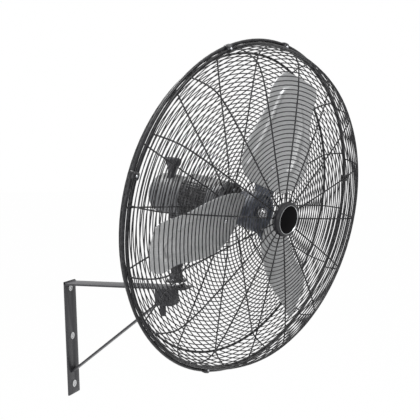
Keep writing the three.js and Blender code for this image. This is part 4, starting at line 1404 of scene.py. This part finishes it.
# ---------------------------------------------------------------- motor


@dataclass
class Motor:
    """Cast shells of the motor and the cover over its gearbox."""

    radius: float = 56.0
    wall: float = 3.0
    cover_front: float = 30.0
    split: float = 96.0
    front: float = 168.0
    nose_radius: float = 24.0
    nose_length: float = 7.0
    bore: float = 7.0
    seat_radius: float = 14.3
    seat_bore: float = 11.3
    bar_half_width: float = 1.4
    vents_to: float = 124.0
    vent_depth: float = 3.2
    vent_pitch: float = math.radians(7.5)
    smooth_back: float = math.radians(44.0)
    strip_steps: int = 24

    def bell(self, name: str, rim: float, wall: float, vents: tuple[float, float]) -> Piece:
        """Turns one motor bell with the recess of its vents.

        Args:
            name: Name of the piece.
            rim: Station of its open rim.
            wall: Station of its outer end face.
            vents: Stations of the recess, the one nearer to the end face first.

        Returns:
            The bell, drawn in the head frame.
        """
        toward = 1.0 if rim > wall else -1.0
        deep = self.radius - self.vent_depth
        inner = deep - self.wall
        near, far = vents
        body = [
            (self.bore, wall), (self.radius - 11, wall), (self.radius - 4, wall + toward * 1.5),
            (self.radius - 1, wall + toward * 4), (self.radius, wall + toward * 7), (self.radius, near - toward * 1),
            (self.radius - 0.6, near), (deep, near + toward * 0.4), (deep, far - toward * 0.4),
            (self.radius - 0.6, far), (self.radius - 0.3, rim - toward * 0.5), (self.radius - 0.9, rim), (inner, rim),
            (inner, wall + toward * 8), (self.seat_radius, wall + toward * 4), (self.seat_radius, wall + toward * 12),
            (self.seat_bore, wall + toward * 12), (self.seat_bore, wall + toward * 4), (self.bore, wall + toward * 4),
            (self.bore, wall),
        ]
        shell = Bench.turned(name, body, 96)
        Bench.smooth(shell, 36)
        return shell

    def vent_bars(self, name: str, low: float, high: float) -> Piece:
        """Lays the bars between the vents along both flanks and below, and none on the back.

        Args:
            name: Name of the piece.
            low: Where the bars start.
            high: Where they end.

        Returns:
            The bars, drawn in the head frame.
        """
        bar = Bench.block(
            name,
            (-self.bar_half_width, self.radius - self.vent_depth - 0.5, low),
            (self.bar_half_width, self.radius - 0.4, high),
            0.5,
        )
        count = int((2 * math.pi - 2 * self.smooth_back) / self.vent_pitch)
        start = math.pi - count / 2 * self.vent_pitch
        return Bench.join(name, Bench.copies(bar, [start + self.vent_pitch * k for k in range(count + 1)]))

    def back_strip(self, name: str, low: float, high: float) -> Piece:
        """Spins the smooth strip that closes the recess along the motor's back.

        Args:
            name: Name of the piece.
            low: Where the strip starts.
            high: Where it ends.

        Returns:
            The strip, drawn in the head frame.
        """
        strip = Bench.block(name, (-0.01, self.radius - self.vent_depth - 0.5, low), (0, self.radius, high))
        bpy.ops.object.mode_set(mode="EDIT")
        Bench.pick(strip, lambda p: p.x > -0.004, faces=True)
        turn = 2 * self.smooth_back
        bpy.ops.mesh.spin(steps=self.strip_steps, angle=-turn, center=(0, 0, 0), axis=(0, 0, 1), dupli=False)
        bpy.ops.object.mode_set(mode="OBJECT")
        Bench.tidy_normals(strip)
        ends = [math.atan2(vertex.co.x, vertex.co.y) for vertex in strip.data.vertices]
        middle = (min(ends) + max(ends)) / 2
        strip.matrix_world = Matrix.Rotation(middle, 4, "Z")
        Bench.take(strip)
        bpy.ops.object.transform_apply(location=True, rotation=True, scale=True)
        Bench.smooth(strip, 36)
        return strip

    def paint_vent_shade(self, piece: Piece, finish: Finish) -> None:
        """Paints shade into the recess with a second finish: its floor and walls turn black, painted shade for the
        dark inside of the vents.

        Args:
            piece: Bell in its place, coated with its first finish.
            finish: Finish of the painted shade in the recess.
        """
        piece.data.materials.append(finish.material())
        place = (Matrix.Scale(MM, 4) @ Frame.HEAD.matrix()).inverted()
        Bench.take(piece)
        bpy.ops.object.mode_set(mode="EDIT")

        def in_recess(point: Vector) -> bool:
            at = place @ point
            around = abs(math.atan2(at.x, at.y))
            out = math.hypot(at.x, at.y)
            deep = self.radius - self.vent_depth
            low, high = self.cover_front + 4, self.vents_to + 1
            return low < at.z < high and deep - 0.4 < out < self.radius - 0.4 and around > self.smooth_back

        Bench.pick(piece, in_recess, faces=True)
        piece.active_material_index = 1
        bpy.ops.object.material_slot_assign()
        bpy.ops.object.mode_set(mode="OBJECT")

    def build(self, frame_nodes: Solids) -> None:
        """Builds and fits the shells.

        Args:
            frame_nodes: The frame's solids by name.
        """
        rear_vents = (self.cover_front + 6, self.split - 3.5)
        front_vents = (self.vents_to, self.split + 3.5)
        rear = self.bell("rear_shell", self.split - 0.3, self.cover_front + 0.3, rear_vents)
        front = self.bell("front_shell", self.split, self.front, front_vents)
        nose = Bench.turned(
            "front_nose",
            [
                (self.bore, self.front - 1), (self.nose_radius, self.front - 1),
                (self.nose_radius, self.front + self.nose_length - 1.5),
                (self.nose_radius - 1.5, self.front + self.nose_length), (self.bore, self.front + self.nose_length),
                (self.bore, self.front - 1),
            ],
        )
        Bench.smooth(nose)
        rear = Bench.join("rear_shell", [rear, self.back_strip("rear_back", *rear_vents)])
        strip = self.back_strip("front_back", *reversed(front_vents))
        front = Bench.join("front_shell", [front, nose, strip])
        rear_bars = self.vent_bars("rear_vent_bars", *rear_vents)
        front_bars = self.vent_bars("front_vent_bars", *reversed(front_vents))
        for piece, bars, node in ((rear, rear_bars, "motor_rear_bell"), (front, front_bars, "motor_front_bell")):
            coat(Bench.settle(piece, Frame.HEAD), Finish.MOTOR_ENAMEL)
            # Painted shade: the floor and walls of each bell's recess turn black for the dark inside of the vents.
            self.paint_vent_shade(piece, Finish.RIM_COATING)
            fit(piece, "head", "motor_paint", node)
            dress(bars, Frame.HEAD, Finish.RIM_COATING, "head", "motor_paint", node)
        Softened("rear_cover", "gearbox_cover", "head", "motor_paint", Finish.MOTOR_ENAMEL, 1.2).build(frame_nodes)
        for i in range(1, 4):
            Softened(f"guard_screw_{i}", f"plate_screw_{i}", "head", "zinc", Finish.ZINC_PLATE).build(frame_nodes)


@dataclass
class PullKnob:
    """Flared knob that stops the swing when it is pulled up."""

    stand: tuple[float, float] = (-21.5, -28.0)
    flutes: int = 12

    def build(self) -> None:
        """Builds and fits the knob with its fluted grip."""
        knob = Bench.turned(
            "swing_stop_knob",
            [
                (3.3, 26), (8.4, 26), (8.4, 40), (11.2, 41.5), (11.6, 55), (12.6, 59), (14.8, 64), (18.2, 69),
                (19.9, 74), (20.6, 80), (20.3, 84.2), (18.6, 86.3), (15.4, 87), (14.6, 86.2), (5.0, 85.6),
            ],
            48,
        )
        bpy.ops.object.mode_set(mode="EDIT")
        Bench.pick(
            knob,
            lambda p: math.hypot(p.x, p.y) > 17.5 and p.z < 85 and math.cos(self.flutes * math.atan2(p.y, p.x)) > 0.3,
        )
        bpy.ops.transform.resize(value=(1.045, 1.045, 1), center_override=(0, 0, 0))
        bpy.ops.object.mode_set(mode="OBJECT")
        knob.matrix_world = Matrix.Translation((self.stand[0], 0, self.stand[1])) @ Matrix.Rotation(
            -math.pi / 2, 4, "X"
        )
        Bench.smooth(knob, 40)
        dress(knob, Frame.HEAD, Finish.BLACK_PLASTIC, "swing_knob", "black_plastic", "pull_knob")


# ---------------------------------------------------------------- bracket, joint and box


@dataclass
class Bracket:
    """Bent flat bar on the wall with its eyelets and brace."""

    height: float = 330.0
    width: float = 56.0
    thick: float = 5.0
    bend: float = 9.0
    reach: float = POLE_REACH + 36.0
    hole_inset: float = 28.0
    eyelet_bore: float = 4.5
    eyelet_barrel: float = 6.5
    eyelet_flange: float = 10.0
    bend_steps: int = 10

    def strap(self) -> Piece:
        """Bends the flat bar: the plate's top edge is spun round the bend and pulled out to the arm.

        Returns:
            The bar, drawn in the bracket frame.
        """
        turn = self.height - self.bend
        bar = Bench.block("bent_strap", (-self.width / 2, -self.thick, 0), (self.width / 2, 0, turn))
        bpy.ops.object.mode_set(mode="EDIT")
        Bench.pick(bar, lambda p: p.z > turn - 0.01, faces=True)
        bpy.ops.mesh.spin(
            steps=self.bend_steps, angle=math.pi / 2, center=(0, -self.bend, turn), axis=(1, 0, 0), dupli=False
        )
        bpy.ops.mesh.extrude_region_move(TRANSFORM_OT_translate={"value": (0, -(self.reach - self.bend), 0)})
        bpy.ops.object.mode_set(mode="OBJECT")
        Bench.tidy_normals(bar)
        for z in (self.hole_inset, self.height / 2, self.height - self.hole_inset):
            Bench.clear()
            bpy.ops.mesh.primitive_cylinder_add(
                vertices=32,
                radius=self.eyelet_barrel + 0.3,
                depth=self.thick + 4,
                location=(0, -self.thick / 2, z),
                rotation=(math.pi / 2, 0, 0),
            )
            Bench.cut(bar, Bench.named("hole_tool"))
        Bench.bevel(bar, 0.9, 2, 50)
        Bench.smooth(bar, 30)
        return bar

    def eyelet(self, name: str, z: float) -> Piece:
        """Turns one flanged eyelet with a rolled lip.

        Args:
            name: Name of the piece.
            z: Height on the plate.

        Returns:
            The eyelet, drawn in the bracket frame.
        """
        face = self.thick + 0.3
        eyelet = Bench.turned(
            name,
            [
                (self.eyelet_bore, 0), (self.eyelet_barrel, 0), (self.eyelet_barrel, face),
                (self.eyelet_flange - 0.4, face), (self.eyelet_flange, face + 0.5),
                (self.eyelet_flange - 0.7, face + 1.2), (self.eyelet_bore + 1.4, face + 1.5),
                (self.eyelet_bore, face + 0.9), (self.eyelet_bore, 0),
            ],
            40,
        )
        eyelet.matrix_world = Matrix.Translation((0, 0, z)) @ Matrix.Rotation(math.pi / 2, 4, "X")
        Bench.smooth(eyelet)
        return eyelet

    def build(self, frame_nodes: Solids) -> None:
        """Builds and fits the bracket's pieces.

        Args:
            frame_nodes: The frame's solids by name.
        """
        dress(self.strap(), Frame.BRACKET, Finish.BRACKET_PAINT, "bracket", "bracket_paint", "wall_bracket")
        heights = (self.hole_inset, self.height / 2, self.height - self.hole_inset)
        for place, z in zip(("bottom", "middle", "top"), heights, strict=True):
            eyelet = self.eyelet(f"eyelet_{place}", z)
            dress(eyelet, Frame.BRACKET, Finish.EYELET_ZINC, "bracket", "zinc", f"bushing_{place}")
        Softened("brace", "slant_brace", "bracket", "bracket_paint", Finish.BRACKET_PAINT, 0.8).build(frame_nodes)


SOFTENED = (
    Softened("pole_base", "pole_socket", "bracket", "bracket_paint", Finish.BRACKET_PAINT, 1.0),
    Softened("pole", "pole_tube", "bracket", "bracket_paint", Finish.BRACKET_PAINT, 0.6),
    Softened("lower_knuckle", "pole_knuckle", "bracket", "bracket_paint", Finish.BRACKET_PAINT, 1.2),
    Softened("tilt_bolt", "pivot_bolt", "bracket", "zinc", Finish.ZINC_PLATE, 0.6),
    Softened("base_bolt_left", "socket_bolt_left", "bracket", "zinc", Finish.ZINC_PLATE, 0.4),
    Softened("base_bolt_right", "socket_bolt_right", "bracket", "zinc", Finish.ZINC_PLATE, 0.4),
    Softened("control_box", "switch_box", "bracket", "black_plastic", Finish.BLACK_PLASTIC, 1.2),
    Softened("control_cover", "switch_cover", "bracket", "black_plastic", Finish.BLACK_PLASTIC, 0.9),
    Softened("cable_gland", "inlet_gland", "bracket", "black_plastic", Finish.BLACK_PLASTIC, 0.8),
    Softened("neck", "head_fork", "neck", "bracket_paint", Finish.BRACKET_PAINT, 1.4),
    Softened("tilt_knob", "clamping_knob", "clamp_knob", "black_plastic", Finish.BLACK_PLASTIC, 1.0),
    Softened("speed_knob", "speed_dial_knob", "speed_dial", "black_plastic", Finish.BLACK_PLASTIC, 0.7),
)

DRESSED_NODES = {
    Finish.BLACK_PLASTIC: ("speed_switch",),
    Finish.MOTOR_ENAMEL: ("run_capacitor",),
    Finish.MACHINED_STEEL: (
        "link_pin", "link_rod", "gear_case", "gear_plate", "crank_gear", "stator_core",
        "bearing_rear", "bearing_front", "shaft", "worm", "rotor",
    ),
    Finish.TURNED_BRASS: ("worm_wheel",),
    Finish.COPPER: ("coil_rear", "coil_front"),
}


class Joinery:
    """Pole, neck, box and inner parts: solids that keep their shape."""

    @staticmethod
    def soften(frame_nodes: Solids) -> None:
        """Rounds and dresses the plain solids that show.

        Args:
            frame_nodes: The frame's solids by name.
        """
        for item in SOFTENED:
            item.build(frame_nodes)

    @staticmethod
    def dress_inner(frame_nodes: Solids) -> None:
        """Gives the inner solids their finishes.

        Args:
            frame_nodes: The frame's solids by name.
        """
        for finish, names in DRESSED_NODES.items():
            for name in names:
                for slot in frame_nodes[name].material_slots:
                    slot.material = finish.material()
                LOG.info("%s is finished with %s", name, finish.name.lower())


# ---------------------------------------------------------------- studio


@dataclass
class Studio:
    """Pale floor, white surroundings, soft lamps and the camera."""

    floor_height: float = -1.2
    heading: float = math.radians(68.55)
    nod: float = math.radians(4.37)
    roll: float = math.radians(1.58)
    eye: tuple[float, float, float] = (-1.92003, -1.18554, 0.58145)
    focal_pixels: float = 800.0
    frame_pixels: float = 420.0
    ambient: float = 0.85
    floor_size: float = 60.0
    floor_shade: float = 0.9
    floor_glow: float = 0.97
    lamp_power: float = 60.0
    lamps_aim: tuple[float, float, float] = (0.0, -0.4, 0.35)

    def camera(self) -> None:
        """Places the camera at the photograph's viewing angle."""
        a, p, t = self.heading, self.nod, self.roll
        look = Vector((math.sin(a) * math.cos(p), math.cos(a) * math.cos(p), -math.sin(p)))
        right = Vector((math.cos(a), -math.sin(a), 0))
        down = look.cross(right)
        across = right * math.cos(t) + down * math.sin(t)
        below = down * math.cos(t) - right * math.sin(t)
        data = bpy.data.cameras.new("camera")
        data.sensor_fit = "HORIZONTAL"
        data.sensor_width = 36.0
        data.lens = self.focal_pixels / self.frame_pixels * data.sensor_width
        data.clip_end = 100.0
        camera = bpy.data.objects.new("camera", data)
        turn = Matrix((across, -below, -look)).transposed().to_4x4()
        camera.matrix_world = Matrix.Translation(self.eye) @ turn
        bpy.context.scene.collection.objects.link(camera)
        bpy.context.scene.camera = camera

    def world(self) -> None:
        """Surrounds the scene with white for the eye and for reflections, and a plain ambient light."""
        world = bpy.data.worlds.new("surroundings")
        bpy.context.scene.world = world
        world.use_nodes = True
        tree = world.node_tree
        background = tree.nodes["Background"]
        path = tree.nodes.new("ShaderNodeLightPath")
        seen = path.outputs["Is Camera Ray"]
        for kind in ("Is Glossy Ray", "Is Transmission Ray"):
            either = tree.nodes.new("ShaderNodeMath")
            either.operation = "MAXIMUM"
            tree.links.new(seen, either.inputs[0])
            tree.links.new(path.outputs[kind], either.inputs[1])
            seen = either.outputs[0]
        bright = tree.nodes.new("ShaderNodeMapRange")
        bright.inputs["To Min"].default_value = self.ambient
        bright.inputs["To Max"].default_value = 1.0
        tree.links.new(seen, bright.inputs["Value"])
        tree.links.new(bright.outputs["Result"], background.inputs["Strength"])
        background.inputs["Color"].default_value = (1, 1, 1, 1)

    def floor(self) -> None:
        """Lays the pale floor far below the fan."""
        Bench.clear()
        bpy.ops.mesh.primitive_plane_add(size=self.floor_size, location=(0, 0, self.floor_height))
        floor = Bench.named("floor")
        bpy.ops.object.transform_apply(location=True, rotation=True, scale=True)
        material = bpy.data.materials.new("pale_floor")
        material.use_nodes = True
        tree = material.node_tree
        surface = tree.nodes["Principled BSDF"]
        shade = self.floor_shade
        surface.inputs["Base Color"].default_value = (shade, shade, shade, 1)
        surface.inputs["Roughness"].default_value = 0.9
        surface.inputs["Specular IOR Level"].default_value = 0.0
        path = tree.nodes.new("ShaderNodeLightPath")
        share = tree.nodes.new("ShaderNodeMath")
        share.operation = "MULTIPLY"
        share.inputs[1].default_value = self.floor_glow
        tree.links.new(path.outputs["Is Camera Ray"], share.inputs[0])
        white = tree.nodes.new("ShaderNodeEmission")
        mix = tree.nodes.new("ShaderNodeMixShader")
        tree.links.new(share.outputs[0], mix.inputs["Fac"])
        tree.links.new(surface.outputs[0], mix.inputs[1])
        tree.links.new(white.outputs[0], mix.inputs[2])
        tree.links.new(mix.outputs[0], tree.nodes["Material Output"].inputs["Surface"])
        floor.data.materials.append(material)

    def lamp(self, name: str, place: tuple[float, float, float], target: Vector, size: float, power: float) -> None:
        """Hangs one soft square lamp.

        Args:
            name: Name of the lamp.
            place: Where it hangs.
            target: Where it points.
            size: Side of the lamp.
            power: Power in watts.
        """
        data = bpy.data.lights.new(name, "AREA")
        data.size = size
        data.energy = power
        lamp = bpy.data.objects.new(name, data)
        lamp.location = place
        lamp.rotation_euler = (target - Vector(place)).to_track_quat("-Z", "Y").to_euler()
        bpy.context.scene.collection.objects.link(lamp)

    def build(self) -> None:
        """Sets up the studio."""
        self.camera()
        self.world()
        self.floor()
        target = Vector(self.lamps_aim)
        self.lamp("key_lamp", (-1.4, -2.2, 2.4), target, 1.6, self.lamp_power)
        self.lamp("fill_lamp", (-2.6, 0.4, 1.2), target, 1.6, self.lamp_power * 0.4)
        self.lamp("top_lamp", (0.4, 1.0, 2.55), target, 1.2, self.lamp_power)
        bpy.context.scene.view_settings.view_transform = "Standard"


# ---------------------------------------------------------------- assembly


def main() -> None:
    """Builds the looks of the fan in order."""
    logging.basicConfig(level=logging.INFO, format="%(name)s: %(message)s")
    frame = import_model()
    nodes = frame["nodes"]
    Studio().build()
    Cage().build()
    Badge().build()
    Blades().build(nodes)
    Hub().build()
    Motor().build(nodes)
    PullKnob().build()
    Bracket().build(nodes)
    Joinery.soften(nodes)
    Joinery.dress_inner(nodes)


if __name__ == "__main__":
    main()
